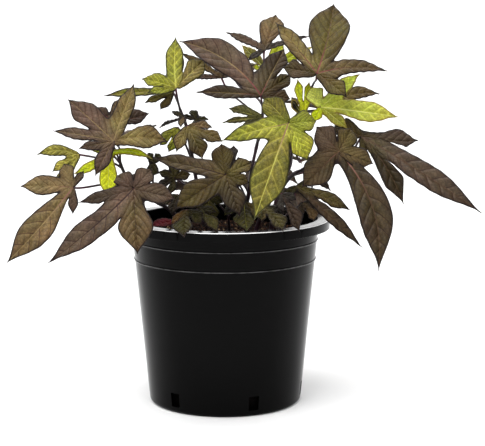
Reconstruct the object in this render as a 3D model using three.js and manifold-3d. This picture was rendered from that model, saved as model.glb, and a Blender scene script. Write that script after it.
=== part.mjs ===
// A sweet potato vine in its round black nursery pot. Millimetres, +Z up, the middle of the pot's foot at the origin,
// +X to the right and +Y to the back.
import * as THREE from "three";
import Module from "manifold-3d";

const wasm = await Module();
wasm.setup();

// ---- sizes of the pot and soil ----
const POT_HEIGHT = 146;
const RIM_RADIUS = 82.5;
const FOOT_RADIUS = 60.2;
const WALL_TOP_RADIUS = 73.6;
const WALL = 1.6;
const FLOOR = 1.8;
const FLOOR_EASE = 2;
const SKIRT_HEIGHT = 7.6;
const FLANGE = 1.8;
const FLANGE_FALL = 0.4;
const RIM_EASE = 0.8;
const FOOT_ROUND = 3.2;
const RING_HEIGHTS = [114.3, 129.4];
const RING_RIDGE = 0.7;
const RING_HALF_WIDTH = 0.9;
const SLOT_COUNT = 6;
const SLOT_WIDTH = 8;
const SLOT_FOOT = 5;
const SLOT_TOP = 16;
const SLOT_TURN = 0.86; // of the angle between slots
const SLOT_DEPTH = 7; // how far the slot cutters reach in and out from the foot's radius
const POT_SIDES = 36;

const SOIL_EDGE_HEIGHT = 132;
const SOIL_CROWN = 3.5;
const SOIL_LIP = 0.6;
const HOLE_ROOM = 0.9; // how much wider than its stem a hole in the soil is, on the radius
const CLEARANCE = 0.3;

// ---- how leaves and stems are made ----
const BLADE_THICKNESS = 0.8;
const FINEST = 0.05; // detail below this is merged where half lobes cross
const LOBE_BEND = 0.85; // share of a lobe's drop that comes after it has left the junction level
const LOBE_ARCH = 0.04;
const NOTCH_SPREAD = 0.6; // how far a notch is from the midribs beside it, of the lobes' mean half width
const NOTCH_LIMIT = 0.45; // how far out a notch may be, of the shorter lobe
const FREE_NOTCH_SPREAD = 0.45; // how far the free edge of an outer lobe starts from its midrib, of its half width
const FREE_NOTCH_OUT = 0.3; // and how far along it, of that spread
const FREE_NOTCH_FOOT = 0.6; // and how far along it the rows of faces start, of that spread
const NOTCH_ROOM = 0.5; // how far an edge stays from the plane halfway to the next lobe
const NECK_FIRST = 0.08; // where along a lobe its rows of faces may start
const NECK_LAST = 0.5;
const WIDEST = 0.6; // where along a lobe it is widest
const TAPER = 1.5; // how straight a lobe narrows to its tip: 1 is round
const SHORT_TAPER_ROWS = [0.55]; // where the rows of faces are between the widest place and the tip
const LONG_TAPER_ROWS = [0.42, 0.8];
const MIDRIB_FOLD = 0.24;
const WAVE_HEIGHT = 0.11; // of the half width
const WAVE_RATE = 9; // how fast the edge waves along a lobe, in radians from junction to tip
const WAVE_STEP = 2.4; // how far each lobe's wave is ahead of the one before it, in radians
const SHORT_LOBE = 27; // a shorter lobe has one row of faces fewer, a longer one than the next has one more
const LONG_LOBE = 45;
const STALK_SIDES = 5;
const STALK_STEPS = 4;
const STALK_RADIUS = 0.9;
const STALK_SWELL = 0.15; // how much thicker a stalk is at its stem
const STALK_EASE = 0.38; // how long a stalk runs straight at either end, of its span
const STALK_LEAN = 0.6; // how much a stalk leaves along its stem
const STALK_REACH = 0.5; // how much a stalk arrives along the lobes of its blade
const SHOOT_STALK_RADIUS = 0.8;
const STEM_SIDES = 7;
const STEM_STEPS = 11;

const v = (x, y, z) => new THREE.Vector3(x, y, z);

// ---- solids ----
function solidOf(geometry) {
  return new wasm.Manifold(
    new wasm.Mesh({
      numProp: 3,
      vertProperties: new Float32Array(geometry.points.flatMap((p) => p.toArray())),
      triVerts: new Uint32Array(geometry.faces.flat()),
    }),
  );
}

function geometryOf(solid) {
  const made = solid.getMesh();
  return new THREE.BufferGeometry()
    .setAttribute("position", new THREE.BufferAttribute(new Float32Array(made.vertProperties), 3))
    .setIndex(new THREE.BufferAttribute(new Uint32Array(made.triVerts), 1));
}

// Turns the strips of an open surface into sheets of even thickness, each closed all round. Strips that meet along an
// edge get the same wall there, so that they join into one sheet.
function thicken({ points, strips }, thickness) {
  const normals = points.map(() => v(0, 0, 0));
  for (const [a, b, c] of strips.flat()) {
    const ab = points[b].clone().sub(points[a]);
    const normal = ab.cross(points[c].clone().sub(points[a]));
    for (const i of [a, b, c]) normals[i].add(normal);
  }
  const half = thickness / 2;
  const upper = points.map((p, i) => p.clone().addScaledVector(normals[i].normalize(), half));
  const lower = points.map((p, i) => p.clone().addScaledVector(normals[i], -half));
  return strips.map((faces) => ({ points: [...upper, ...lower], faces: closedSheet(faces, points.length) }));
}

function closedSheet(faces, below) {
  const edges = new Set(faces.flatMap(([a, b, c]) => [`${a} ${b}`, `${b} ${c}`, `${c} ${a}`]));
  const closed = [];
  for (const [a, b, c] of faces) closed.push([a, b, c], [c + below, b + below, a + below]);
  for (const edge of edges) {
    const [from, to] = edge.split(" ").map(Number);
    if (edges.has(`${to} ${from}`)) continue;
    if (from < to) closed.push([to, from, from + below], [to, from + below, to + below]);
    else closed.push([to, from, to + below], [from, from + below, to + below]);
  }
  return closed;
}

// A round bar along a run of places, with a radius at each.
function bar(places, radii, sides) {
  const points = [];
  const faces = [];
  let side = v(0, 1, 0);
  places.forEach((place, i) => {
    const ahead = places[Math.min(i + 1, places.length - 1)].clone();
    const heading = ahead.sub(places[Math.max(i - 1, 0)]).normalize();
    if (Math.abs(side.dot(heading)) > 0.95) side = v(1, 0, 0);
    side = side.clone().addScaledVector(heading, -side.dot(heading)).normalize();
    const other = heading.clone().cross(side);
    for (let k = 0; k < sides; k++) {
      const turn = (2 * Math.PI * k) / sides;
      const out = side.clone().multiplyScalar(Math.cos(turn)).addScaledVector(other, Math.sin(turn));
      points.push(place.clone().addScaledVector(out, radii[i]));
    }
  });
  for (let i = 0; i + 1 < places.length; i++)
    for (let k = 0; k < sides; k++) {
      const a = i * sides + k;
      const b = i * sides + ((k + 1) % sides);
      faces.push([a, b, b + sides], [a, b + sides, a + sides]);
    }
  const last = (places.length - 1) * sides;
  for (let k = 1; k + 1 < sides; k++) faces.push([0, k + 1, k], [last, last + k, last + k + 1]);
  return { points, faces };
}

// ---- leaves ----
// A lobe is written [right, back, up, half width, sweep]: its tip from the leaf's junction, how wide it is, and how
// far its midrib is drawn to the left as seen on the upper face. A leaf's lobes are listed anticlockwise there.
function lobeOf([right, back, up, width, sweep = 0], facing) {
  const tip = v(right, back, up);
  const rise = tip.dot(facing);
  const level = tip.clone().addScaledVector(facing, -rise);
  const reach = level.length();
  const control = level.clone().multiplyScalar(0.5);
  control.addScaledVector(facing, 0.5 * rise * (1 - LOBE_BEND) + LOBE_ARCH * tip.length());
  const across = facing.clone().cross(level).normalize();
  control.addScaledVector(across, sweep);
  return { tip, control, across, heading: level.normalize(), reach, length: tip.length(), width };
}

function midribAt(lobe, t) {
  return lobe.control.clone().multiplyScalar(2 * t * (1 - t)).addScaledVector(lobe.tip, t * t);
}

function upFrom(lobe, t) {
  const slope = lobe.control.clone().multiplyScalar(2 - 4 * t).addScaledVector(lobe.tip, 2 * t);
  return slope.cross(lobe.across).normalize();
}

// The direction that the upper face of a leaf looks.
function facingOf(leaf) {
  if (leaf.facing) return v(...leaf.facing).normalize();
  const total = v(0, 0, 0);
  const headings = leaf.lobes.map(([x, y, z]) => v(x, y, z).normalize());
  for (let i = 0; i + 1 < headings.length; i++) total.add(headings[i].clone().cross(headings[i + 1]));
  return total.normalize();
}

// The inner end of the edge between two neighbouring lobes. How far it is from the junction is given, or comes from
// the widths of the lobes.
function notchBetween(a, b, facing, share, given) {
  const middle = a.heading.clone().add(b.heading).normalize();
  const half = Math.acos(Math.min(1, a.heading.dot(middle)));
  const spread = (share * (a.width + b.width)) / 2;
  const reach = given || Math.min(NOTCH_LIMIT * Math.min(a.length, b.length), spread / Math.sin(half));
  const foot = reach * Math.cos(half);
  const lift = (lobe) => midribAt(lobe, Math.min(1, foot / lobe.reach)).dot(facing);
  const away = middle.clone().cross(facing).normalize();
  const place = middle.multiplyScalar(reach).addScaledVector(facing, (lift(a) + lift(b)) / 2);
  return { place, foot, spread: reach * Math.sin(half), away };
}

// Moves a place on a lobe's edge back to the lobe's own side of the plane halfway to its neighbour.
function keepApart(place, notch, side) {
  if (!notch.away) return place;
  const room = side * NOTCH_ROOM - place.dot(notch.away);
  return side * room > 0 ? place.addScaledVector(notch.away, room) : place;
}

// The inner end of the free edge of an outermost lobe, beside the leaf stalk.
function notchBeside(lobe, side) {
  const spread = FREE_NOTCH_SPREAD * lobe.width;
  const place = lobe.heading.clone().multiplyScalar(FREE_NOTCH_OUT * spread);
  return { place: place.addScaledVector(lobe.across, side * spread), foot: FREE_NOTCH_FOOT * spread, spread };
}

// The middle surface of a blade. Each half lobe is a strip of faces between its midrib and its edge.
function bladeSurface(leaf) {
  const facing = facingOf(leaf);
  const lobes = leaf.lobes.map((lobe) => lobeOf(lobe, facing));
  const points = [v(0, 0, 0)];
  const strips = [];
  const put = (place) => points.push(place) - 1;
  const notches = [notchBeside(lobes[0], -1)];
  const spread = leaf.neck ?? NOTCH_SPREAD;
  for (let i = 0; i + 1 < lobes.length; i++)
    notches.push(notchBetween(lobes[i], lobes[i + 1], facing, spread, leaf.notches?.[i]));
  notches.push(notchBeside(lobes[lobes.length - 1], 1));
  for (const notch of notches) notch.at = put(notch.place);
  lobes.forEach((lobe, i) => {
    const foot = (notches[i].foot + notches[i + 1].foot) / 2;
    const start = Math.min(NECK_LAST, Math.max(NECK_FIRST, foot / lobe.reach));
    const between = lobe.length < SHORT_LOBE ? [] : [(start + WIDEST) / 2];
    const shares = lobe.length > LONG_LOBE ? LONG_TAPER_ROWS : SHORT_TAPER_ROWS;
    const tapers = shares.map((share) => WIDEST + (1 - WIDEST) * share);
    const rows = [start, ...between, WIDEST, ...tapers];
    const rib = rows.map((t) => put(midribAt(lobe, t)));
    const tip = put(lobe.tip);
    for (const side of [-1, 1]) {
      const notch = notches[side < 0 ? i : i + 1];
      const edge = rows.slice(1).map((t) => {
        const grown = Math.min(1, (t - start) / (WIDEST - start));
        const gone = Math.max(0, (t - WIDEST) / (1 - WIDEST));
        const swell = notch.spread + (lobe.width - notch.spread) * Math.sin((Math.PI / 2) * grown);
        const width = swell * Math.cos((Math.PI / 2) * gone) ** TAPER;
        const wave = WAVE_HEIGHT * Math.sin(WAVE_RATE * t + WAVE_STEP * i + side);
        const place = midribAt(lobe, t).addScaledVector(lobe.across, side * width);
        place.addScaledVector(upFrom(lobe, t), width * (grown * MIDRIB_FOLD + wave));
        return put(keepApart(place, notch, side));
      });
      edge.unshift(notch.at);
      const strip = [[0, rib[0], edge[0]]];
      for (let k = 0; k + 1 < rib.length; k++)
        strip.push([rib[k], rib[k + 1], edge[k + 1]], [rib[k], edge[k + 1], edge[k]]);
      strip.push([rib[rib.length - 1], tip, edge[edge.length - 1]]);
      strips.push(strip.map(([a, b, c]) => (side > 0 ? [a, b, c] : [c, b, a])));
    }
  });
  const at = v(...leaf.at);
  return { points: points.map((p) => p.add(at)), strips };
}

// Half lobes that cross near a notch are joined there, so that no wall runs through another, and a hollow that they
// close in between them is filled.
function blade(leaf) {
  const joined = wasm.Manifold.union(thicken(bladeSurface(leaf), BLADE_THICKNESS).map(solidOf)).simplify(FINEST);
  return joined.decompose().reduce((a, b) => (a.volume() > b.volume() ? a : b));
}

// ---- stems and leaf stalks ----
const curveOf = (path) => new THREE.CatmullRomCurve3(path.map((p) => v(...p)), false, "centripetal");

function stem({ path, thick, thin }) {
  const places = curveOf(path).getPoints(STEM_STEPS);
  const radii = places.map((_, i) => thick + ((thin - thick) * i) / STEM_STEPS);
  return solidOf(bar(places, radii, STEM_SIDES));
}

// A stalk leaves its stem at a share of the stem's length and comes up under the blade's junction.
// Where it ends, it stops short of the blade by the clearance, or sinks into the blade of a fused leaf.
function stalk(leaf, vine, fused = false) {
  const radius = fused ? SHOOT_STALK_RADIUS : STALK_RADIUS;
  const facing = facingOf(leaf);
  const curve = curveOf(vine.path);
  const from = curve.getPoint(leaf.share);
  const leaving = curve.getTangent(leaf.share);
  const arriving = v(0, 0, 0);
  for (const [x, y, z] of leaf.lobes) arriving.add(v(x, y, z));
  arriving.normalize().multiplyScalar(STALK_REACH).add(facing).normalize();
  const slant = Math.sqrt(1 - arriving.dot(facing) ** 2);
  const drop = fused ? 0 : BLADE_THICKNESS / 2 + CLEARANCE + radius * slant;
  const to = v(...leaf.at).addScaledVector(facing, -drop);
  const span = from.distanceTo(to);
  const outward = leaving.multiplyScalar(STALK_LEAN).add(to.clone().sub(from).normalize()).normalize();
  const first = leaf.by ? v(...leaf.by) : from.clone().addScaledVector(outward, STALK_EASE * span);
  const second = to.clone().addScaledVector(arriving, -STALK_EASE * span);
  const places = new THREE.CubicBezierCurve3(from, first, second, to).getPoints(STALK_STEPS);
  const radii = places.map((_, i) => radius * (1 + STALK_SWELL * (1 - i / STALK_STEPS)));
  return solidOf(bar(places, radii, STALK_SIDES));
}

// ---- pot and soil ----
// A turned body: the outline is a run of [radius, height] that starts and ends on the axis, anticlockwise.
function turned(outline, sides) {
  const points = [];
  const faces = [];
  const rings = outline.map(([radius, height]) => {
    if (radius === 0) return Array(sides).fill(points.push(v(0, 0, height)) - 1);
    return Array.from({ length: sides }, (_, k) => {
      const turn = (2 * Math.PI * k) / sides;
      return points.push(v(radius * Math.cos(turn), radius * Math.sin(turn), height)) - 1;
    });
  });
  for (let i = 0; i + 1 < rings.length; i++)
    for (let k = 0; k < sides; k++) {
      const next = (k + 1) % sides;
      const [a, b, c, d] = [rings[i][k], rings[i][next], rings[i + 1][next], rings[i + 1][k]];
      if (a !== b) faces.push([a, b, c]);
      if (c !== d) faces.push([a, c, d]);
    }
  return { points, faces };
}

const wallRadius = (height) =>
  FOOT_RADIUS +
  ((WALL_TOP_RADIUS - FOOT_RADIUS) * (height - FOOT_ROUND)) / (POT_HEIGHT - SKIRT_HEIGHT - FOOT_ROUND);

function pot() {
  const ring = (height) => [
    [wallRadius(height - RING_HALF_WIDTH), height - RING_HALF_WIDTH],
    [wallRadius(height) + RING_RIDGE, height],
    [wallRadius(height + RING_HALF_WIDTH), height + RING_HALF_WIDTH],
  ];
  const skirt = POT_HEIGHT - SKIRT_HEIGHT;
  const under = POT_HEIGHT - FLANGE;
  const bevel = FOOT_ROUND * (1 - Math.SQRT1_2);
  const outline = [
    [0, 0],
    [FOOT_RADIUS - FOOT_ROUND, 0],
    [FOOT_RADIUS - bevel, bevel],
    [FOOT_RADIUS, FOOT_ROUND],
    ...RING_HEIGHTS.flatMap(ring),
    [wallRadius(under), under],
    [RIM_RADIUS - FLANGE, under - FLANGE_FALL],
    [RIM_RADIUS - FLANGE, skirt],
    [RIM_RADIUS, skirt],
    [RIM_RADIUS, POT_HEIGHT - RIM_EASE],
    [RIM_RADIUS - RIM_EASE, POT_HEIGHT],
    [wallRadius(POT_HEIGHT) - WALL, POT_HEIGHT],
    [FOOT_RADIUS - WALL, FOOT_ROUND],
    [FOOT_RADIUS - WALL - FLOOR_EASE, FLOOR],
    [0, FLOOR],
  ];
  let body = solidOf(turned(outline, POT_SIDES));
  for (let i = 0; i < SLOT_COUNT; i++) {
    const turn = (2 * Math.PI * (i + SLOT_TURN)) / SLOT_COUNT;
    const out = v(Math.cos(turn), Math.sin(turn), 0);
    body = body.subtract(solidOf(slotCutter(out)));
  }
  return body;
}

// A block that cuts one drainage slot out of the wall above the foot.
function slotCutter(out) {
  const beside = v(-out.y, out.x, 0).multiplyScalar(SLOT_WIDTH / 2);
  const inner = FOOT_RADIUS - SLOT_DEPTH;
  const outer = FOOT_RADIUS + SLOT_DEPTH;
  const plan = [[inner, -1], [outer, -1], [outer, 1], [inner, 1]];
  const corners = [SLOT_FOOT, SLOT_TOP].flatMap((height) =>
    plan.map(([radius, side]) => out.clone().multiplyScalar(radius).addScaledVector(beside, side).setZ(height)),
  );
  const faces = [[0, 2, 1], [0, 3, 2], [4, 5, 6], [4, 6, 7]];
  for (let i = 0; i < 4; i++) {
    const next = (i + 1) % 4;
    faces.push([i, next, next + 4], [i, next + 4, i + 4]);
  }
  return { points: corners, faces };
}

function soil(stems) {
  const inner = (height) => wallRadius(height) - WALL - CLEARANCE;
  const floor = FLOOR + CLEARANCE;
  const crown = (share, lift = 0) => [
    share * inner(SOIL_EDGE_HEIGHT),
    SOIL_EDGE_HEIGHT + SOIL_CROWN * (1 - share * share) + lift,
  ];
  const outline = [
    [0, floor],
    [inner(floor) - FLOOR_EASE - CLEARANCE, floor],
    [inner(2 * FOOT_ROUND), 2 * FOOT_ROUND],
    crown(1),
    crown(0.92, SOIL_LIP),
    crown(0.6),
    crown(0.3),
    crown(0),
  ];
  let body = solidOf(turned(outline, POT_SIDES));
  for (const { path, thick } of stems) {
    const [x, y, z] = path[0];
    const heights = [z - CLEARANCE, SOIL_EDGE_HEIGHT + 2 * SOIL_CROWN];
    const hole = bar(heights.map((height) => v(x, y, height)), heights.map(() => thick + HOLE_ROOM), STEM_SIDES);
    body = body.subtract(solidOf(hole));
  }
  return body;
}

// ---- the plant: places in mm ----
// A stem: its path up from the bottom of its hole in the soil, and its radius there and at its tip.
const VINES = {
  vine_right: {
    path: [[24, -6, 122], [25, -6, 138], [38, -9, 165], [51, -10, 190], [50, -8, 215], [60, -5, 232], [68, 2, 247]],
    thick: 2.3,
    thin: 1.2,
  },
  vine_middle: {
    path: [[14, 4, 122], [14, 4, 138], [18, 1, 160], [21, -3, 184], [26, 2, 207], [30, 10, 228], [33, 22, 244]],
    thick: 1.9,
    thin: 1.1,
  },
  vine_low_right: {
    path: [[36, -18, 122], [36, -18, 138], [41, -19, 164], [53, -20, 182], [72, -21, 188], [94, -18, 192]],
    thick: 2.2,
    thin: 1.2,
  },
  vine_left: {
    path: [[-27, -14, 122], [-28, -14, 138], [-43, -16, 154], [-62, -16, 166], [-76, -15, 180], [-82, -10, 192]],
    thick: 2,
    thin: 1.1,
  },
  vine_left_back: {
    path: [[-14, 8, 122], [-14, 8, 138], [-20, 8, 160], [-27, 10, 199], [-31, 13, 218], [-36, 14, 231]],
    thick: 2.2,
    thin: 1.1,
  },
  vine_back_left: {
    path: [[-18, 30, 122], [-18, 30, 138], [-25, 38, 154], [-36, 49, 168], [-52, 56, 176]],
    thick: 2.2,
    thin: 1.2,
  },
  vine_back_right: {
    path: [[19, 26, 122], [19, 26, 138], [25, 35, 158], [36, 46, 180], [48, 52, 198], [52, 50, 214]],
    thick: 2.3,
    thin: 1.2,
  },
};

// Each leaf: its colour, the stem that carries it, the share of the stem's length where its stalk leaves, where its
// junction is, and its lobes. A leaf whose necks differ from NOTCH_SPREAD gives its own share as neck, and one whose
// notches are known gives how far out each is, with 0 for one that is left to the widths of the lobes.
const LEAVES = {
  leaf_crown_right: {
    colour: "bronze", vine: "vine_right", share: 0.95, by: [72, 0, 260], at: [70, -30, 260],
    notches: [17, 14.5, 17.5, 0],
    lobes: [[22, -15, -17, 8], [53, -6, 2, 6, 8], [15, 45, 52, 16, -4], [-31, 32, 38, 7], [-26, 4, 4, 10]],
  },
  leaf_crown_left: {
    colour: "bronze", vine: "vine_middle", share: 0.8, at: [28, -8, 242],
    notches: [14, 19, 19, 16],
    lobes: [[23, 0, -3, 9], [24, 12, 15, 10], [19, 28, 35, 10], [-64, 21, 41, 14, -16], [-50, -6, 3, 6]],
  },
  leaf_crown_back: {
    colour: "bronze", vine: "vine_middle", share: 0.98, at: [31, 38, 275],
    lobes: [[38, 15, 11, 3], [10, 28, 28, 10, -1], [-31, 14, 14, 4], [-13, -8, -8, 3]],
  },
  leaf_lime_back: {
    colour: "lime", vine: "vine_middle", share: 0.92, at: [33, 58, 258],
    lobes: [[40, 15, 19, 5], [15, 19, 24, 5], [-20, 16, 20, 5], [-11, 2, 3, 4]],
  },
  leaf_lime_right: {
    colour: "lime", vine: "vine_right", share: 0.78, at: [74, -24, 234],
    notches: [0, 0, 18.5, 0],
    lobes: [[-6, -5, -11, 5], [19, -16, -15, 5], [57, -18, -6, 9], [30, 12, 25, 6], [-8, 8, 15, 8]],
  },
  leaf_lime_shoot: {
    colour: "lime", vine: "vine_right", share: 0.72, at: [60, -16, 227],
    lobes: [[5, 2, 26, 5], [-4, 2, 28, 5], [-9, 0, 13, 4]],
  },
  leaf_right_back: {
    colour: "bronze", vine: "vine_right", share: 0.75, at: [83, 22, 234],
    lobes: [[28, -6, -7, 5], [40, 1, 7, 6, 7], [7, 16, 20, 5]],
  },
  leaf_olive_front: {
    colour: "olive", vine: "vine_right", share: 0.48, at: [47, -78, 226],
    notches: [17.5, 19.5, 15, 13.5],
    lobes: [[-18, 13, 18, 9.5], [-49, -5, -12, 6.5], [-25, -27, -67, 13], [14, -10, -26, 10.5], [21, 7, 1, 9]],
  },
  leaf_right_front: {
    colour: "bronze", vine: "vine_low_right", share: 0.62, at: [84, -72, 205],
    notches: [12, 7.5, 15.5, 7],
    lobes: [[26, 0, -9, 8], [10, 7, 17, 9], [-16, 7, 18, 10], [-27, -10, -25, 11], [28, -28, -84, 12.5, 21]],
  },
  leaf_right_long: {
    colour: "bronze", vine: "vine_low_right", share: 0.97, neck: 0.45, at: [104, -38, 213],
    notches: [0, 31, 23, 0],
    lobes: [
      [7, 4, -22, 6], [30, -22, -49, 9.5, 6], [88, -24, -55, 9, -3], [43, 1, -3, 9, -8], [-20, 18, 9, 8, 3],
    ],
  },
  leaf_left_upper: {
    colour: "bronze", vine: "vine_left", share: 0.97, by: [-81, -6, 207], at: [-84, -32, 209],
    notches: [0, 19, 21, 11.5, 15],
    lobes: [
      [42, -8, 0, 10, 8], [14, 30, 42, 7], [-36, 13, 31, 10.5], [-46, -2, 8, 5.5], [-26, -8, -5, 5], [-13, -16, -25, 6],
    ],
  },
  leaf_left_back: {
    colour: "bronze", vine: "vine_left", share: 0.86, at: [-89, -2, 222],
    lobes: [[30, 10, 5, 7, -6], [10, 17, 17, 5], [-12, 9, 10, 5], [-15, -3, -4, 4]],
  },
  leaf_lime_top: {
    colour: "olive", vine: "vine_left_back", share: 0.97, neck: 0.9, at: [-38, 0, 247],
    lobes: [[23, 18, 22, 9], [-1, 28, 39, 7, 2], [-27, 6, 7, 8], [-22, -8, -3, 5]],
  },
  leaf_left_top_back: {
    colour: "bronze", vine: "vine_left_back", share: 0.9, at: [-41, 16, 243],
    lobes: [[5, 31, 32, 5], [-55, -2, -3, 4], [-22, -9, -8, 4], [-10, -2, -14, 5]],
  },
  leaf_lime_left: {
    colour: "lime", vine: "vine_left", share: 0.95, at: [-89, -20, 199],
    lobes: [[-15, -2, 4, 3], [-27, -8, -16, 4, 5], [1, -20, -34, 7], [34, 0, -5, 3, 6]],
  },
  leaf_left_small: {
    colour: "olive", vine: "vine_left", share: 0.9, at: [-113, -8, 196],
    lobes: [[-33, 0, 0, 5, -7], [-21, -4, -13, 5], [-19, -17, -28, 5]],
  },
  leaf_left_low: {
    colour: "bronze", vine: "vine_left", share: 0.7, at: [-114, -44, 175],
    notches: [8, 13, 11, 9.5],
    lobes: [[7, 13, 11, 3], [-8, 11, 17, 7], [-40, -1, 1, 8], [-48, -24, -54, 11.5, 4], [0, -5, -20, 4]],
  },
  leaf_left_front: {
    colour: "bronze", vine: "vine_left", share: 0.48, neck: 0.42, at: [-66, -78, 178],
    notches: [11.5, 25.5, 25.5, 9.5, 13.5],
    lobes: [
      [-13, 9, 9, 9], [-40, -5, -9, 5, 2], [-61, -23, -51, 9, 6], [4, -20, -45, 13], [31, -1, -7, 8.5], [13, 10, 14, 8],
    ],
  },
  leaf_centre_low: {
    colour: "bronze", vine: "vine_middle", share: 0.28, at: [1, -58, 186],
    notches: [17, 13, 17, 12, 12],
    lobes: [
      [-3, 16, 22, 9], [-55, 9, 12, 6.5], [-38, -14, -24, 10.5], [11, -15, -29, 9], [18, -2, -6, 7], [21, 12, 8, 7],
    ],
  },
  leaf_purple_back: {
    colour: "bronze", vine: "vine_middle", share: 0.74, at: [-3, 44, 253],
    lobes: [[15, 5, 6, 4], [-7, 14, 15, 5], [-34, 6, 20, 4], [-28, -5, 0, 3]],
  },
  leaf_middle_green: {
    colour: "olive", vine: "vine_middle", share: 0.62, at: [29, -24, 226],
    lobes: [[-26, 5, 7, 6], [-31, 4, -4, 3], [-17, -6, -8, 4]],
  },
  leaf_middle_edge: {
    colour: "bronze", vine: "vine_left_back", share: 0.8, at: [-32, 2, 224],
    lobes: [[-10, 13, 4, 3], [-19, -9, -7, 3], [-2, -16, -6, 3]],
  },
  leaf_middle_spiky: {
    colour: "bronze", vine: "vine_left_back", share: 0.74, at: [-23, 22, 221],
    lobes: [[1, -8, -6, 4], [10, -2, 0, 3], [-4, 8, 7, 4], [-12, 0, 3, 3]],
  },
  leaf_middle_bronze: {
    colour: "bronze", vine: "vine_left_back", share: 0.6, at: [-28, -32, 220],
    notches: [12, 17, 11],
    lobes: [[-8, -13, -18, 6], [12, -17, -23, 10], [27, -7, -11, 8], [19, 5, -1, 5]],
  },
  leaf_middle_lime: {
    colour: "olive", vine: "vine_left_back", share: 0.52, at: [-36, -12, 217],
    lobes: [[-14, -7, -13, 6], [-7, -9, -18, 6], [3, -3, -14, 4]],
  },
  leaf_low_dark: {
    colour: "bronze", vine: "vine_left_back", share: 0.36, at: [-39, -22, 180],
    lobes: [[13, 3, 2, 5], [1, 8, 11, 6], [-12, 2, 4, 4], [-12, -7, -9, 5], [-2, -9, -12, 4]],
  },
  leaf_low_left: {
    colour: "bronze", vine: "vine_left", share: 0.22, at: [-36, -34, 168],
    lobes: [[-13, -5, -7, 5], [-4, -11, -14, 5], [8, -8, -9, 4]],
  },
  leaf_middle_grey: {
    colour: "bronze", vine: "vine_middle", share: 0.36, at: [6, -22, 188],
    lobes: [[8, 6, 6, 4], [1, 8, 16, 5], [-8, 6, 4, 4]],
  },
  leaf_left_dark: {
    colour: "bronze", vine: "vine_left", share: 0.5, at: [-55, -6, 189],
    lobes: [[4, 7, 7, 4], [-5, 4, 8, 4], [-2, -7, -10, 5]],
  },
  leaf_right_small: {
    colour: "bronze", vine: "vine_back_right", share: 0.4, at: [66, 18, 180],
    lobes: [[3, -8, -13, 4], [18, -6, -15, 4], [14, 6, 2, 4]],
  },
  leaf_low_right: {
    colour: "bronze", vine: "vine_low_right", share: 0.3, at: [55, -36, 175],
    lobes: [[-10, -4, -9, 4], [49, -23, -44, 5], [41, -4, -18, 6], [15, 6, 2, 4]],
  },
  leaf_rear_middle: {
    colour: "bronze", vine: "vine_back_right", share: 0.7, at: [24, 80, 180],
    lobes: [[30, -2, -6, 6], [38, 32, -22, 8], [4, 52, -44, 12], [-32, 34, -20, 8], [-28, -2, -6, 6]],
  },
  leaf_rear_right: {
    colour: "bronze", vine: "vine_back_right", share: 0.85, at: [62, 66, 184],
    lobes: [[16, -8, 0, 7], [30, 12, 6, 8], [26, 46, -6, 10], [2, 44, -8, 8], [-18, 14, 4, 6]],
  },
  leaf_rear_left: {
    colour: "bronze", vine: "vine_back_left", share: 0.97, at: [-86, 56, 166],
    lobes: [[14, 22, 4, 6], [10, 50, -20, 9], [-16, 44, -34, 11], [-22, 18, -18, 8], [-12, -14, -4, 6]],
  },
  leaf_rear_low: {
    colour: "bronze", vine: "vine_back_left", share: 0.65, at: [-24, 82, 160],
    lobes: [[28, 4, -4, 6], [28, 34, -34, 8], [-4, 38, -56, 12], [-34, 24, -34, 9], [-26, -4, -2, 6]],
  },
  leaf_rear_low_right: {
    colour: "bronze", vine: "vine_back_right", share: 0.3, at: [58, 76, 154],
    lobes: [[26, -12, -2, 6], [34, 18, -30, 9], [14, 36, -52, 12], [-18, 34, -30, 8], [-22, 8, 2, 6]],
  },
  leaf_rear_crown: {
    colour: "bronze", vine: "vine_middle", share: 0.85, at: [6, 66, 260],
    lobes: [[24, 10, 2, 5], [18, 36, -4, 7], [-8, 42, 2, 9], [-32, 22, 6, 7], [-22, 0, 2, 5]],
  },
  leaf_rear_left_high: {
    colour: "bronze", vine: "vine_left_back", share: 0.7, at: [-72, 42, 208],
    lobes: [[16, 10, 6, 5], [6, 36, 0, 8], [-22, 34, -8, 9], [-34, 6, -6, 7], [-14, -10, -4, 5]],
  },
  leaf_rear_right_high: {
    colour: "bronze", vine: "vine_back_right", share: 0.99, at: [66, 50, 230],
    lobes: [[16, -10, -4, 5], [36, 12, -8, 8], [22, 36, -6, 9], [-8, 34, 0, 8], [-20, 8, 2, 5]],
  },
};

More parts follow.
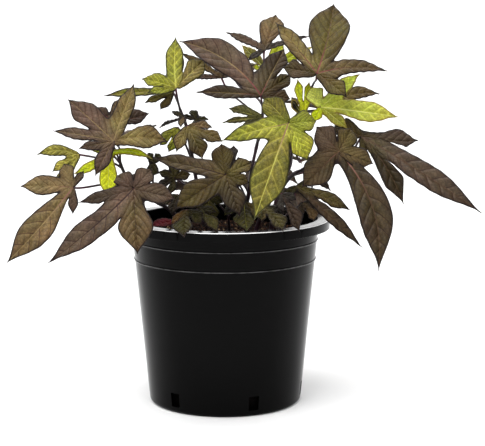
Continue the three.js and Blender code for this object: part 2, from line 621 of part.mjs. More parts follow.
// Short shoots at soil level, each a stem with its small leaves grown on.
const SHOOTS = {
  shoot_left: {
    colour: "bronze", path: [[-30, -36, 122], [-30, -36, 138], [-29, -40, 150]], thick: 1.5, thin: 1,
    leaves: [
      { share: 0.9, at: [-28, -60, 160], notches: [10, 10], lobes: [[-11, -3, -12, 5], [-1, -27, -16, 9.5], [12, -12, -9, 7]] },
      { share: 0.98, at: [-20, -54, 160], notches: [7, 8], lobes: [[0, -12, -6, 4], [16, -18, -15, 7], [14, -2, -2, 5.5]] },
    ],
  },
  shoot_middle: {
    colour: "olive", path: [[4, -34, 122], [4, -34, 138], [3, -36, 152]], thick: 1.5, thin: 1,
    leaves: [
      { share: 0.98, at: [-14, -40, 170], notches: [9, 9], lobes: [[-10, -3, -11, 6.5], [6, -8, -21, 8.5], [13, -2, -7, 6.5]] },
      { share: 0.94, at: [15, -50, 164], notches: [11, 13], lobes: [[-15, -8, -8, 6.5], [2, -28, -17, 9.5], [13, -18, -9, 7]] },
    ],
  },
  shoot_right: {
    colour: "bronze", path: [[44, -32, 122], [44, -32, 138], [43, -36, 150]], thick: 1.5, thin: 1,
    leaves: [
      { share: 0.94, at: [30, -52, 161], notches: [10, 12], lobes: [[-2, -16, -9, 5], [14, -26, -14, 9.5], [18, -6, -4, 6.5]] },
      { share: 0.98, at: [43, -52, 171], notches: [9, 9], lobes: [[1, -10, -13, 5], [13, -20, -25, 8.5], [11, -4, -4, 5]] },
      { share: 0.9, at: [60, -34, 162], notches: [8, 9], lobes: [[-2, -12, -8, 5], [8, -15, -12, 8.5], [15, -1, -3, 6]] },
    ],
  },
};

const FALLEN_LEAF = { at: [-40, 32, 137.1], facing: [0.05, -0.45, 1], lobes: [[-21, -6, -3.4, 6.5]] };

const MATERIALS = {
  fallen: { color: "#6b2420", roughness: 0.7 },
  bronze: { color: "#54443a", roughness: 0.55 },
  olive: { color: "#7d8138", roughness: 0.55 },
  lime: { color: "#a7c438", roughness: 0.5 },
  vine: { color: "#35202b", roughness: 0.5 },
  pot: { color: "#0c0d0f", roughness: 0.2 },
  soil: { color: "#2c211b", roughness: 0.95 },
};

const part = new THREE.Group();

function place(name, solid, material) {
  const mesh = new THREE.Mesh(geometryOf(solid), new THREE.MeshStandardMaterial(MATERIALS[material]));
  mesh.name = name;
  part.add(mesh);
}

place("pot", pot(), "pot");
place("soil", soil([...Object.values(VINES), ...Object.values(SHOOTS)]), "soil");
for (const [name, vine] of Object.entries(VINES)) {
  let body = stem(vine);
  for (const leaf of Object.values(LEAVES)) if (leaf.vine === name) body = body.add(stalk(leaf, vine));
  place(name, body, "vine");
}
for (const [name, leaf] of Object.entries(LEAVES)) place(name, blade(leaf), leaf.colour);
for (const [name, shoot] of Object.entries(SHOOTS)) {
  let body = stem(shoot);
  for (const leaf of shoot.leaves) body = body.add(stalk(leaf, shoot, true)).add(blade(leaf));
  place(name, body, shoot.colour);
}
place("leaf_fallen", blade(FALLEN_LEAF), "fallen");

export default part;
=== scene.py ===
"""A sweet potato vine in its round black nursery pot: the looks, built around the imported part.

Everything is in metres in the part's own frame. Places and sizes of the plant are written in
millimetres, as a grower would measure them, and turned to metres where a mesh is made.
"""

from functools import partial
from math import ceil, cos, pi, radians, sin

import bpy
import numpy as np
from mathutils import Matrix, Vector


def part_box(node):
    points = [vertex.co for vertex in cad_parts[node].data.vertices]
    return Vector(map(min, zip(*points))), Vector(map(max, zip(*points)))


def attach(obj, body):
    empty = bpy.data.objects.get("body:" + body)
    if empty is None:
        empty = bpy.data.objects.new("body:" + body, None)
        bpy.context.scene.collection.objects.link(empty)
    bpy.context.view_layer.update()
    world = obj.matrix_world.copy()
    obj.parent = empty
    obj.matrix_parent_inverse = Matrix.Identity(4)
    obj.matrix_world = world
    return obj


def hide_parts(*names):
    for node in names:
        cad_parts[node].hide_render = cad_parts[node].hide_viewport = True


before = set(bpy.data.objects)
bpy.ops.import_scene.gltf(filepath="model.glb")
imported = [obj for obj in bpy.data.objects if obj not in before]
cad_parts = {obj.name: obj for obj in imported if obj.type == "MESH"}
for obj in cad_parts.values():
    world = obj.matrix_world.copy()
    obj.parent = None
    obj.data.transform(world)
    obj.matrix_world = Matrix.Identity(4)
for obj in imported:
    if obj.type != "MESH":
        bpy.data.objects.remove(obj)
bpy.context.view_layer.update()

MM = 0.001
BODY = "root"

# ---- the viewpoint ----
VIEW_DISTANCE = 1155 * MM
VIEW_HEIGHT = 318 * MM
VIEW_SIDE = 13.8 * MM
VIEW_DOWN = radians(8.71)
LENS = 110.2
SENSOR = 36
SIGHT = 20  # metres, far enough to take in the whole studio

# ---- sizes of the pot, mm ----
POT_HEIGHT = (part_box("pot")[1].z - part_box("pot")[0].z) / MM
RIM_RADIUS = 0.5 * (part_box("pot")[1].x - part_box("pot")[0].x) / MM
FOOT_RADIUS = 60.2
WALL_TOP_RADIUS = 73.6
WALL = 1.6
FLOOR = 1.8
SKIRT_HEIGHT = 7.6
FLANGE = 1.8
RIM_ROUNDS = (0.8, 0.5, 0.4, 0.5, 1.0, 0.6)  # from under the flange, over the rim, to the inner lip
RIM_TOP = 0.9  # how far down the rim its glossier round, with the painted white highlight, reaches
RIM_HIGHLIGHT_IN = (0.8, 0.4)  # how far in from the edge of the rim its painted highlight starts and is full
RIM_HIGHLIGHT_DOWN = (RIM_TOP, 0.6)  # and how far down
CREST_HIGHLIGHT = (0.2, 0.5)  # how far from the crest of a ring its painted highlight is full and has faded out
FLANGE_DROP = 0.4  # how far the underside of the flange lies below its thickness
WALL_RUN = (0.2, 2.4)  # from there the wall goes on this far in and down
LIP_RUN = (0.25, 3)  # and from the inner lip
FOOT_ROUND = 3.2
FOOT_STEPS = 6
RING_HEIGHTS = (114.3, 129.4)
RING_RIDGE = 0.7
RING_HALF_WIDTH = 0.9
RING_ROWS = (-1.6, -1.2, *np.linspace(-1, 1, 9), 1.2, 1.6)  # in half widths from its crest
OUTER_ROWS = (30, 50, 70, 90, 105)
INNER_ROWS = (134, 120, 90, 60, 30)
FLAT_ROW = 0.12  # a row of faces this far from a round keeps the flat beside it flat
SLOT_COUNT = 6
SLOT_WIDTH = 8
SLOT_FOOT = 5
SLOT_TOP = 16
SLOT_TURN = 0.86  # of the angle between slots
SLOT_STEPS = 4  # faces across a slot
WALL_STEPS = 28  # faces between two slots
CREASE = radians(50)  # edges that turn more than this stay sharp

# ---- sizes of the soil, mm ----
SOIL_EDGE_HEIGHT = 132
SOIL_CROWN = 3.5
SOIL_WAVE = 0.6
SOIL_WAVES = 7  # round the soil
SOIL_WAVE_TURN = 4  # radians that they turn from its middle to its edge
SOIL_GAP = 0.3  # between soil and pot
SOIL_SHOULDER = 3  # below its edge the soil starts to narrow
SOIL_SIDE = ((24, 0.5), (17, 4))  # heights on its side, and how far it keeps from the wall there
SOIL_FOOT_GAP = 5  # the same at the floor
SOIL_RINGS = 46
SOIL_SIDES = 110
FIBRE_RADIUS = 0.16
CRUMPLE = 2.6  # how far crumbs and fibres are bent out of true
CRUMPLE_RATE = 480.0  # bends in a metre

# ---- how the stems are made, in the same terms as the part's source ----
STALK_EASE = 0.38  # how far a stalk runs straight at each end, of its span
STALK_LEAN = 0.6  # how much it leaves along its stem
STALK_REACH = 0.5  # how much it arrives along its blade
STALK_SWELL = 0.15  # how much thicker it is at its foot
STALK_RADIUS = 0.9
SHOOT_STALK_RADIUS = 0.8
STEM_SLIM = 0.88  # the fine stem's girth as a share of its solid's
STEM_ROWS = 56
STALK_ROWS = 26
NODE_SWELL = (0.22, 0.025)  # how much a stem swells where a stalk leaves, over what share of it
FOOT_SWELL = (0.35, 0.06)  # the same of a stalk at its stem
JUNCTION_SWELL = (0.25, 0.05)  # and under its blade
TIP_GIRTH = 0.55
STEM_FLUSH = 0.35  # how rosy a stem is at its tip

# ---- how a blade is formed, in the same terms as the part's source ----
LOBE_BEND = 0.85  # how late a midrib bends down or up; 0 is straight
LOBE_ARCH = 0.04  # how far it arches up, of its length
NOTCH_SPREAD = 0.6  # half the width between two midribs at their notch, of the lobes' half width
NOTCH_LIMIT = 0.45  # how far out a notch may be, of the shorter lobe
FREE_NOTCH_SPREAD = 0.45  # the outer lobes' free margins start this far aside, of their half width
FREE_NOTCH_OUT = 0.3  # and this far out
FREE_NOTCH_FOOT = 0.6
NOTCH_ROOM = 0.5  # mm that neighbouring lobes keep from the plane between them
NOTCH_CLEAR = 2  # mm from their notch, where they first keep all of it
NECK_FIRST = 0.08  # where a lobe's neck may end, of its length
NECK_LAST = 0.5
NECK_SETTLE = 0.45  # from there its margin settles over this share of the way to where it is widest
LEAST_SETTLE = 0.05  # of its length
WIDEST = 0.6  # where a lobe is widest, of its length
TAPER = 1.5
MIDRIB_FOLD = 0.24  # how far the margin stands above the midrib, of the half width
HALF_CROWN = 0.5  # how far each half rounds up between them, of its fold
WAVE_HEIGHT = 0.11  # of the half width
WAVE_RATE = 9  # radians from junction to tip
WAVE_STEP = 2.4  # radians from one lobe to the next

# ---- the fine blade's faces ----
BLADE = 0.5  # thickness, mm
MARGIN_HALF = 0.3  # half the thickness at the margin, of BLADE
GRID = 1.1  # the size of a face, mm
COLUMN = 0.95  # the width of a face, of GRID
COLUMNS = (4, 14)  # fewest and most from midrib to margin
COLUMN_CROWD = 1.2  # narrower faces towards the midrib
FEWEST_ROWS = 8
WEB_ROWS = 10  # rows of faces between the junction and a notch
TONE_REACH = 1.3  # how far the blade's common tone runs out into a lobe, of its neck
EASE_ROUNDS = 10
POINT_EASE = 0.5
TONE_EASE = 0.6
EASE_FALL = (1.5, 0.6)  # how far a lobe is eased: the first less the second for each neck's length
LEAST_EASE = 0.12
FIRM_TIP = 0.9  # from here on a lobe isn't eased
JUNCTION_DEPTH = 3.0  # mm that the junction lies in from the margin
OUTSIDE_VEINS = 50  # mm; the rim's faces lie beyond any vein

# ---- the fine blade's relief and veins, mm ----
VEIN_GAP = 8.0  # along the midrib between side veins, on a lobe of VEIN_GAP * VEINS
VEINS = 6.5  # on each side of a lobe
CLOSEST_VEINS = 3.6
WIDEST_VEINS = 11.5
VEIN_LEAN = 0.75  # how far a side vein runs on for each mm that it goes out
VEIN_CURVE = 0.06
VEIN_SQUARE = 0.78  # distance square to a side vein, for each mm along the midrib
VEIN_WANDER = 2.2
RUNG_GAP = 2.3  # between ladder veins
RUNG_LEAN = 0.42  # how much of the way between them runs along the lobe
QUILT = 1.1  # how far the blade swells up between its side veins
QUILT_SHAPE = 0.8
QUILT_START = (0.3, 2.5)  # from the midrib, where it starts to swell and may swell fully
QUILT_END = (0.0, 3.0)  # and from the margin
RIPPLE = 0.35
RIPPLE_RATE = 0.9
RIPPLE_SIDES = 2  # radians between either side and the midrib
RIPPLE_STEP = 1.7  # radians from one blade to the next
RIPPLE_DEPTH = 3.5  # from the margin inwards
GROOVE = 0.3
GROOVE_WIDTH = 0.7
RIDGE = 0.8
RIDGE_WIDTH = 0.75
RIDGE_FADE = 0.7  # how soon it fades out towards the tip

# ---- where a line's full tone ends and where it has faded out, mm ----
SIDE_VEIN = (0.15, 0.5)
SIDE_HALO = (0.1, 1.9)
RUNG = (0.05, 0.5)
MARGIN = (0.6, 1.5)
NET = (0.0, 0.14)  # of the size of a cell
MIDRIB = (0.3, 0.9)  # of the midrib's own width
MIDRIB_HALO = (1.0, 3.2)
MIDRIB_WIDTHS = (0.65, 0.22)  # at the junction and at the tip
MIDRIB_TURN = (0.08, 0.45)  # where the midrib changes from its first tone to its second, of its length
FADE = (1.0, 0.0)


# ---------------------------------------------------------------- small helpers
def linear(hexed):
    """An sRGB hex colour as linear RGBA."""
    parts = [int(hexed[i:i + 2], 16) / 255 for i in (1, 3, 5)]
    return tuple(p / 12.92 if p <= 0.04045 else ((p + 0.055) / 1.055) ** 2.4 for p in parts) + (1.0,)


def per_metre(size):
    """The scale of a pattern whose features are about size mm across."""
    return 1 / (size * MM)


def unit(vector):
    vector = np.asarray(vector, float)
    return vector / max(1e-9, np.linalg.norm(vector))


def smooth(low, high, value):
    share = np.clip((value - low) / (high - low), 0, 1)
    return share * share * (3 - 2 * share)


# Short names for nodes used again and again: type, the inputs that values fill, output, settings.
SHORT = {name: ("ShaderNodeMath", (0, 1, 2), 0, {"operation": name}) for name in (
    "ABSOLUTE", "ADD", "DIVIDE", "FLOOR", "GREATER_THAN", "MAXIMUM", "MULTIPLY", "MULTIPLY_ADD",
    "PINGPONG", "SUBTRACT")}
SHORT["RAMP"] = ("ShaderNodeMapRange", range(5), 0, {"interpolation_type": "SMOOTHSTEP"})
SHORT["NOISE"] = ("ShaderNodeTexNoise", ("Vector", "Scale", "Detail", "Roughness"), 0, {})
SHORT["BLEND"] = ("ShaderNodeMix", (0, 6, 7), 2, {"data_type": "RGBA"})
SHORT["TINT"] = ("ShaderNodeMix", (0, 6, 7), 2, {"data_type": "RGBA", "blend_type": "MULTIPLY"})


def add_node(tree, kind, *values, take=None, **settings):
    """Adds a node with its settings and links, and gives its output, or the one to take.

    Values fill the inputs in turn, or are one dict of inputs by name or number.
    """
    kind, inputs, output, known = SHORT.get(kind, (kind, range(len(values)), 0, {}))
    node = tree.nodes.new(kind)
    for name, value in {**known, **settings}.items():
        setattr(node, name, value)
    given = values[0] if values and isinstance(values[0], dict) else dict(zip(inputs, values))
    for key, value in given.items():
        for source in value if isinstance(value, list) else [value]:
            if isinstance(source, bpy.types.NodeSocket):
                tree.links.new(source, node.inputs[key])
            else:
                node.inputs[key].default_value = source
    return node.outputs[output if take is None else take] if node.outputs else node


def new_material(name):
    """A material with an empty tree, and the function that adds nodes to it."""
    material = bpy.data.materials.new(name)
    material.use_nodes = True
    material.node_tree.nodes.clear()
    return material, partial(add_node, material.node_tree)


def coated(material, inputs):
    """Ends a material's tree in a shader with these inputs."""
    shader = add_node(material.node_tree, "ShaderNodeBsdfPrincipled", inputs)
    add_node(material.node_tree, "ShaderNodeOutputMaterial", {"Surface": shader})
    return material


def new_tree(name, sizes):
    """A geometry tree with named sizes and a material to set, its inputs, and what adds its nodes."""
    tree = bpy.data.node_groups.new(name, "GeometryNodeTree")
    sockets = tree.interface
    sockets.new_socket("Geometry", in_out="INPUT", socket_type="NodeSocketGeometry")
    for label, value in sizes.items():
        kind = "NodeSocketInt" if isinstance(value, int) else "NodeSocketFloat"
        sockets.new_socket(label, in_out="INPUT", socket_type=kind).default_value = value
    sockets.new_socket("Material", in_out="INPUT", socket_type="NodeSocketMaterial")
    sockets.new_socket("Geometry", in_out="OUTPUT", socket_type="NodeSocketGeometry")
    return tree, tree.nodes.new("NodeGroupInput").outputs, partial(add_node, tree)


def end_tree(add, geometry, material):
    real = add("GeometryNodeRealizeInstances", {"Geometry": geometry})
    coated = add("GeometryNodeSetMaterial", {"Geometry": real, "Material": material})
    add("NodeGroupOutput", {"Geometry": coated})


def new_mesh(name, points, faces, edges=()):
    mesh = bpy.data.meshes.new(name)
    mesh.from_pydata(points, edges, faces)
    return mesh


def placed(name, data):
    """A new object in the scene."""
    made = bpy.data.objects.new(name, data)
    bpy.context.scene.collection.objects.link(made)
    return made


def run_tree(mesh, tree, material):
    """Runs a geometry tree on a mesh and returns the result as a plain mesh."""
    holder = placed("workpiece", mesh)
    modifier = holder.modifiers.new("make", "NODES")
    modifier.node_group = tree
    for item in tree.interface.items_tree:
        if item.name == "Material":
            modifier[item.identifier] = material
    shown = holder.evaluated_get(bpy.context.evaluated_depsgraph_get())
    made = bpy.data.meshes.new_from_object(shown)
    bpy.data.objects.remove(holder)
    return made


def piece(name, mesh, materials, slot, *nodes):
    """Puts a finished mesh in the scene as a piece that stands for CAD nodes."""
    made = placed(name, mesh)
    if list(mesh.materials) != materials:  # a joined mesh keeps its own
        mesh.materials.clear()
        for material in materials:
            mesh.materials.append(material)
    mesh.polygons.foreach_set("use_smooth", [True] * len(mesh.polygons))
    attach(made, BODY)
    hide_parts(*nodes)


# ---------------------------------------------------------------- materials
def pot_plastic(name, shine, painted_highlight):
    """Polypropylene, injection moulded: near black and glossy, with a painted pale highlight on its lip
    and ring crests.
    """
    material, add = new_material(name)
    place = add("ShaderNodeTexCoord", take="Object")
    level = add("ShaderNodeVectorMath", place, (1.0, 1.0, 0.0), operation="MULTIPLY")
    radius = add("ShaderNodeVectorMath", level, take="Value", operation="LENGTH")
    height = add("ShaderNodeSeparateXYZ", place, take="Z")
    flow = add("NOISE", place, per_metre(45), 2)
    grain = add("NOISE", place, per_metre(0.9), 2)

    # Painted highlights: pale on the outer round of the rim, and patchy on the crests of the rings, where
    # the plastic would catch the light.
    outer = add("RAMP", radius, *((RIM_RADIUS - depth) * MM for depth in RIM_HIGHLIGHT_IN))
    upper = add("RAMP", height, *((POT_HEIGHT - depth) * MM for depth in RIM_HIGHLIGHT_DOWN))
    crest_highlight_patches = add("RAMP", add("NOISE", place, per_metre(6), 3), 0.3, 0.6, 0.35, 1.0)
    crests = []
    for ring in RING_HEIGHTS:
        off = add("ABSOLUTE", add("SUBTRACT", height, ring * MM))
        crests.append(add("RAMP", off, *(half * MM for half in CREST_HIGHLIGHT), *FADE))
    painted_crest_highlights = add("MULTIPLY", add("ADD", *crests), crest_highlight_patches)
    painted_highlight_mask = add("MAXIMUM", add("MULTIPLY", outer, upper), painted_crest_highlights)

    uneven = add("ADD", add("MULTIPLY", flow, 0.14), add("MULTIPLY", grain, 0.05))
    broad = add("ShaderNodeBump", {"Height": flow, "Strength": 0.25, "Distance": 0.6 * MM})
    fine = add("ShaderNodeBump",
               {"Height": grain, "Strength": 0.12, "Distance": 0.05 * MM, "Normal": broad})
    return coated(material, {
        "Base Color": add("BLEND", painted_highlight_mask, linear("#030303"), linear(painted_highlight)),
        "Roughness": add("ADD", uneven, 0.03),
        "IOR": 1.49,
        "Specular IOR Level": shine,
        "Normal": fine,
    })


def potting_mix():
    """Peat and composted bark: dark red brown and matt, with a few paler bits, and painted shade that
    darkens it towards the bottom of the pot.
    """
    material, add = new_material("peat_potting_mix")
    place = add("ShaderNodeTexCoord", take="Object")
    bit = add("ShaderNodeAttribute", take="Fac", attribute_name="bit")
    grain = add("NOISE", place, per_metre(1.6), 4, 0.65)
    patch = add("NOISE", place, per_metre(14), 3)
    peat = add("BLEND", add("RAMP", patch, 0.4, 0.65), linear("#0a0605"), linear("#170d0a"))
    bark = add("ShaderNodeValToRGB", bit)
    stops = bark.node.color_ramp.elements
    stops[0].color, stops[1].color = linear("#0b0705"), linear("#94805f")
    for position, shade in ((0.45, "#180e0a"), (0.8, "#2c1810"), (0.95, "#4c3222")):
        stops.new(position).color = linear(shade)
    mixed = add("BLEND", add("RAMP", bit, 0.02, 0.1), peat, bark)
    grained = add("TINT", 1.0, mixed, add("RAMP", grain, 0.3, 0.7, 0.5, 1.2))
    height = add("ShaderNodeSeparateXYZ", place, take="Z")
    painted_shade_below = add("RAMP", height, 50 * MM, 120 * MM, 0.25, 1.0)  # painted shade: darker towards the bottom, where the soil lies in shade inside the pot and shows at the slots
    bump = add("ShaderNodeBump", {"Height": grain, "Strength": 0.7, "Distance": 0.6 * MM})
    return coated(material, {
        "Base Color": add("TINT", 1.0, grained, painted_shade_below),
        "Roughness": 0.9,
        "Specular IOR Level": 0.1,
        "Normal": bump,
    })


def stem_skin():
    """Living stem, waxy and dark purple, with fine grain and a rosy flush towards the blades."""
    material, add = new_material("vine_stem_skin")
    place = add("ShaderNodeTexCoord", take="Object")
    flush = add("ShaderNodeAttribute", take="Fac", attribute_name="flush")
    patch = add("RAMP", add("NOISE", place, per_metre(9), 3), 0.35, 0.7)
    purple = add("BLEND", patch, linear("#150b0f"), linear("#2b151f"))
    rosy = add("RAMP", flush, 0.3, 1.0, 0.0, 0.8)
    grain = add("NOISE", place, per_metre(0.8), 2)
    bump = add("ShaderNodeBump", {"Height": grain, "Strength": 0.3, "Distance": 0.15 * MM})
    return coated(material, {
        "Base Color": add("BLEND", rosy, purple, linear("#5e2a3c")),
        "Roughness": 0.42,
        "Specular IOR Level": 0.3,
        "Normal": bump,
    })


def leaf_skin(name, edge, flush, under, vein, gloss, network, paler, mottle):
    """Living leaf: a satin skin with ladder veins, side veins, midribs and a thin darker margin.

    The blade carries its own colours as tone and rib, its own vein coordinates in mm as run, and how
    far along a lobe and how far in from its margin each place is as form.
    """
    material, add = new_material(name)
    place = add("ShaderNodeTexCoord", take="Object")
    tone = add("ShaderNodeAttribute", take="Color", attribute_name="tone")
    rib_tone = add("ShaderNodeAttribute", take="Color", attribute_name="rib")
    below = add("ShaderNodeAttribute", take="Fac", attribute_name="under")
    run = add("ShaderNodeUVMap", uv_map="run")
    along, signed = add("ShaderNodeSeparateXYZ", run).node.outputs[:2]
    share, margin = add("ShaderNodeSeparateXYZ", add("ShaderNodeUVMap", uv_map="form")).node.outputs[:2]
    across = add("ABSOLUTE", signed)

    # Side veins leave the midrib at every VEIN_GAP and bend towards the tip; those of one side stand
    # between those of the other.
    stray = add("NOISE", place, per_metre(11), 2)
    wander = add("MULTIPLY_ADD", stray, VEIN_WANDER, -0.5 * VEIN_WANDER)
    lean = add("MULTIPLY", across, VEIN_LEAN)
    curve = add("MULTIPLY", add("MULTIPLY", across, across), VEIN_CURVE)
    other = add("MULTIPLY", add("GREATER_THAN", signed, 0.0), 0.5 * VEIN_GAP)
    start = add("SUBTRACT", add("ADD", along, wander), add("ADD", lean, curve))
    phase = add("DIVIDE", add("ADD", start, other), VEIN_GAP)
    off = add("MULTIPLY", add("PINGPONG", phase, 0.5), VEIN_GAP * VEIN_SQUARE)
    side_vein = add("RAMP", off, *SIDE_VEIN, *FADE)
    side_halo = add("RAMP", off, *SIDE_HALO, *FADE)

    # Ladder veins cross from one side vein to the next, with a finer net between them.
    out = add("MULTIPLY_ADD", along, RUNG_LEAN, add("MULTIPLY", across, 1 - RUNG_LEAN))
    shift = add("MULTIPLY_ADD", add("FLOOR", phase), 0.37, add("MULTIPLY", wander, 0.4))
    rung = add("PINGPONG", add("ADD", add("DIVIDE", out, RUNG_GAP), shift), 0.5)
    rungs = add("RAMP", add("MULTIPLY", rung, RUNG_GAP), *RUNG, *FADE)
    cells = add("ShaderNodeTexVoronoi", {"Vector": run, "Scale": 0.55, "Randomness": 0.9},
                take="Distance", feature="DISTANCE_TO_EDGE", voronoi_dimensions="2D")
    net = add("MAXIMUM", add("MULTIPLY", rungs, 0.9), add("RAMP", cells, *NET, *FADE))

    # The midrib narrows towards the tip.
    rib_width = add("RAMP", share, 0.0, 1.0, *MIDRIB_WIDTHS)
    rib_reach = add("DIVIDE", across, rib_width)
    rib_mask = add("RAMP", rib_reach, *MIDRIB, *FADE)
    rib_halo = add("RAMP", rib_reach, *MIDRIB_HALO, *FADE)
    edge_mask = add("RAMP", margin, *MARGIN, *FADE)

    # Colour: a body mottled with green and purple that turns towards the margin, paler veins, the
    # ribs, the margin, then the underside.
    fine = add("NOISE", place, per_metre(2.2), 3, 0.6)
    clouds = add("RAMP", add("NOISE", place, per_metre(14), 3),
                 0.25, 0.75, 1 - 0.3 * mottle, 1 + 0.3 * mottle)
    specks = add("RAMP", fine, 0.3, 0.7, -0.28 * mottle, 0.28 * mottle)
    hue = add("RAMP", add("NOISE", place, per_metre(20), 2), 0.3, 0.7, 0.487, 0.513)
    mottled = add("ShaderNodeHueSaturation",
                  {"Hue": hue, "Value": add("ADD", clouds, specks), "Color": tone})
    flushed = add("TINT", 1.0, mottled, linear(flush))
    turned = add("BLEND", add("RAMP", margin, 0.3, 6.0, 0.5, 0.0), mottled, flushed)
    pale = add("ShaderNodeHueSaturation", {"Value": paler, "Color": turned})
    halo = add("MAXIMUM", add("MULTIPLY", side_halo, 0.45), add("MULTIPLY", rib_halo, 0.7))
    quilted = add("BLEND", halo, turned, pale)
    meshed = add("TINT", 1.0, quilted, linear("#6f6b66"))
    netted = add("BLEND", add("MULTIPLY", net, network), quilted, meshed)
    vein_tone = add("TINT", 1.0, pale, linear(vein))
    veined = add("BLEND", add("MULTIPLY", side_vein, 0.85), netted, vein_tone)
    ribbed = add("BLEND", add("MULTIPLY", rib_mask, 0.9), veined, rib_tone)
    edged = add("BLEND", add("MULTIPLY", edge_mask, 0.95), ribbed, linear(edge))
    lower = add("BLEND", 0.45, edged, linear(under))

    # Satin above and duller below, with sunken veins.
    rough = add("RAMP", fine, 0.3, 0.7, gloss - 0.05, gloss + 0.07)
    sunken = add("MAXIMUM", side_halo, add("MULTIPLY", net, 0.4))
    height = add("SUBTRACT", add("MULTIPLY", fine, 0.6), sunken)
    return coated(material, {
        "Base Color": add("BLEND", below, edged, lower),
        "Roughness": add("MAXIMUM", rough, add("MULTIPLY", below, 0.62)),
        "IOR": 1.45,
        "Specular IOR Level": 0.18,
        "Normal": add("ShaderNodeBump", {"Height": height, "Strength": 1.0, "Distance": 0.55 * MM}),
    })


def studio_paper():
    """Seamless studio paper: white and matt."""
    material, _ = new_material("white_studio_paper")
    return coated(material, {
        "Base Color": linear("#f0f0f0"),
        "Roughness": 0.9,
        "Specular IOR Level": 0.1,
    })


# ---------------------------------------------------------------- pot
def wall_radius(height):
    rise = (height - FOOT_ROUND) / (POT_HEIGHT - SKIRT_HEIGHT - FOOT_ROUND)
    return FOOT_RADIUS + (WALL_TOP_RADIUS - FOOT_RADIUS) * rise


def rounded(before, corner, after, radius, steps=4):
    """Points of a small round at a corner of an outline, with a row beside it on each flat."""
    corner = np.array(corner)
    back, ahead = unit(np.array(before) - corner), unit(np.array(after) - corner)
    start, end = corner + back * radius, corner + ahead * radius
    arc = [tuple((1 - t) ** 2 * start + 2 * t * (1 - t) * corner + t * t * end)
           for t in np.linspace(0, 1, steps + 1)]
    return [tuple(start + back * FLAT_ROW), *arc, tuple(end + ahead * FLAT_ROW)]


def ring_rows():
    """The wall's outside where the two rings stand out of it."""
    rows = []
    for ring in RING_HEIGHTS:
        for step in RING_ROWS:
            bulge = RING_RIDGE * max(0, cos(step * pi / 2)) if abs(step) < 1 else 0
            height = ring + step * RING_HALF_WIDTH
            rows.append((wall_radius(height) + bulge, height))
    return rows


def rim_rows():
    """From under the flange, round its skirt and over the rim to the inner lip."""
    skirt = POT_HEIGHT - SKIRT_HEIGHT
    under = POT_HEIGHT - FLANGE
    inner_lip = wall_radius(POT_HEIGHT) - WALL
    corners = [
        (wall_radius(under) - WALL_RUN[0], under - WALL_RUN[1]),
        (wall_radius(under), under - FLANGE_DROP),
        (RIM_RADIUS - FLANGE, under - FLANGE_DROP),
        (RIM_RADIUS - FLANGE, skirt),
        (RIM_RADIUS, skirt),
        (RIM_RADIUS, POT_HEIGHT),
        (inner_lip, POT_HEIGHT),
        (inner_lip - LIP_RUN[0], POT_HEIGHT - LIP_RUN[1]),
    ]
    rows = [corners[0]]
    for before, corner, after, radius in zip(corners, corners[1:], corners[2:], RIM_ROUNDS):
        rows += rounded(before, corner, after, radius)
    return rows


def pot_outline():
    """The wall's section as [radius, height], up the outside, over the rim and down the inside."""
    outline = [(FOOT_RADIUS - FOOT_ROUND * (1 - sin(a)), FOOT_ROUND * (1 - cos(a)))
               for a in np.linspace(0, pi / 2, FOOT_STEPS + 1)]
    outline += [(wall_radius(z), z) for z in (SLOT_FOOT, SLOT_TOP, *OUTER_ROWS)]
    outline += ring_rows() + rim_rows()
    outline += [(wall_radius(z) - WALL, z) for z in (*INNER_ROWS, SLOT_TOP, SLOT_FOOT)]
    outline += [(FOOT_RADIUS - WALL - 0.3, FOOT_ROUND - 0.4), (FOOT_RADIUS - WALL - 2, FLOOR)]
    return outline


def pot_turns():
    """The angles of the pot's faces, and which of them are open at the drainage slots."""
    half = 0.5 * SLOT_WIDTH / FOOT_RADIUS
    pitch = 2 * pi / SLOT_COUNT
    turns, open_faces = [], []
    for k in range(SLOT_COUNT):
        middle = (k + SLOT_TURN) * pitch
        for step in range(SLOT_STEPS):
            open_faces.append(len(turns))
            turns.append(middle - half + 2 * half * step / SLOT_STEPS)
        for step in range(WALL_STEPS):
            turns.append(middle + half + (pitch - 2 * half) * step / WALL_STEPS)
    return turns, set(open_faces)


def slot_sides(open_faces, count, low, high):
    """The sill, head and jambs of the slots, through the wall from its outer to its inner rows."""
    faces = []
    for k in open_faces:
        n = (k + 1) % count
        for (outer, inner), turned in ((low, False), (high, True)):
            face = (outer * count + k, outer * count + n, inner * count + n, inner * count + k)
            faces.append(face[::-1] if turned else face)
        for edge, beside, turned in ((k, k - 1, False), (n, n, True)):
            if beside not in open_faces:
                jamb = tuple(row * count + edge for row in (low[0], low[1], high[1], high[0]))
                faces.append(jamb[::-1] if turned else jamb)
    return faces


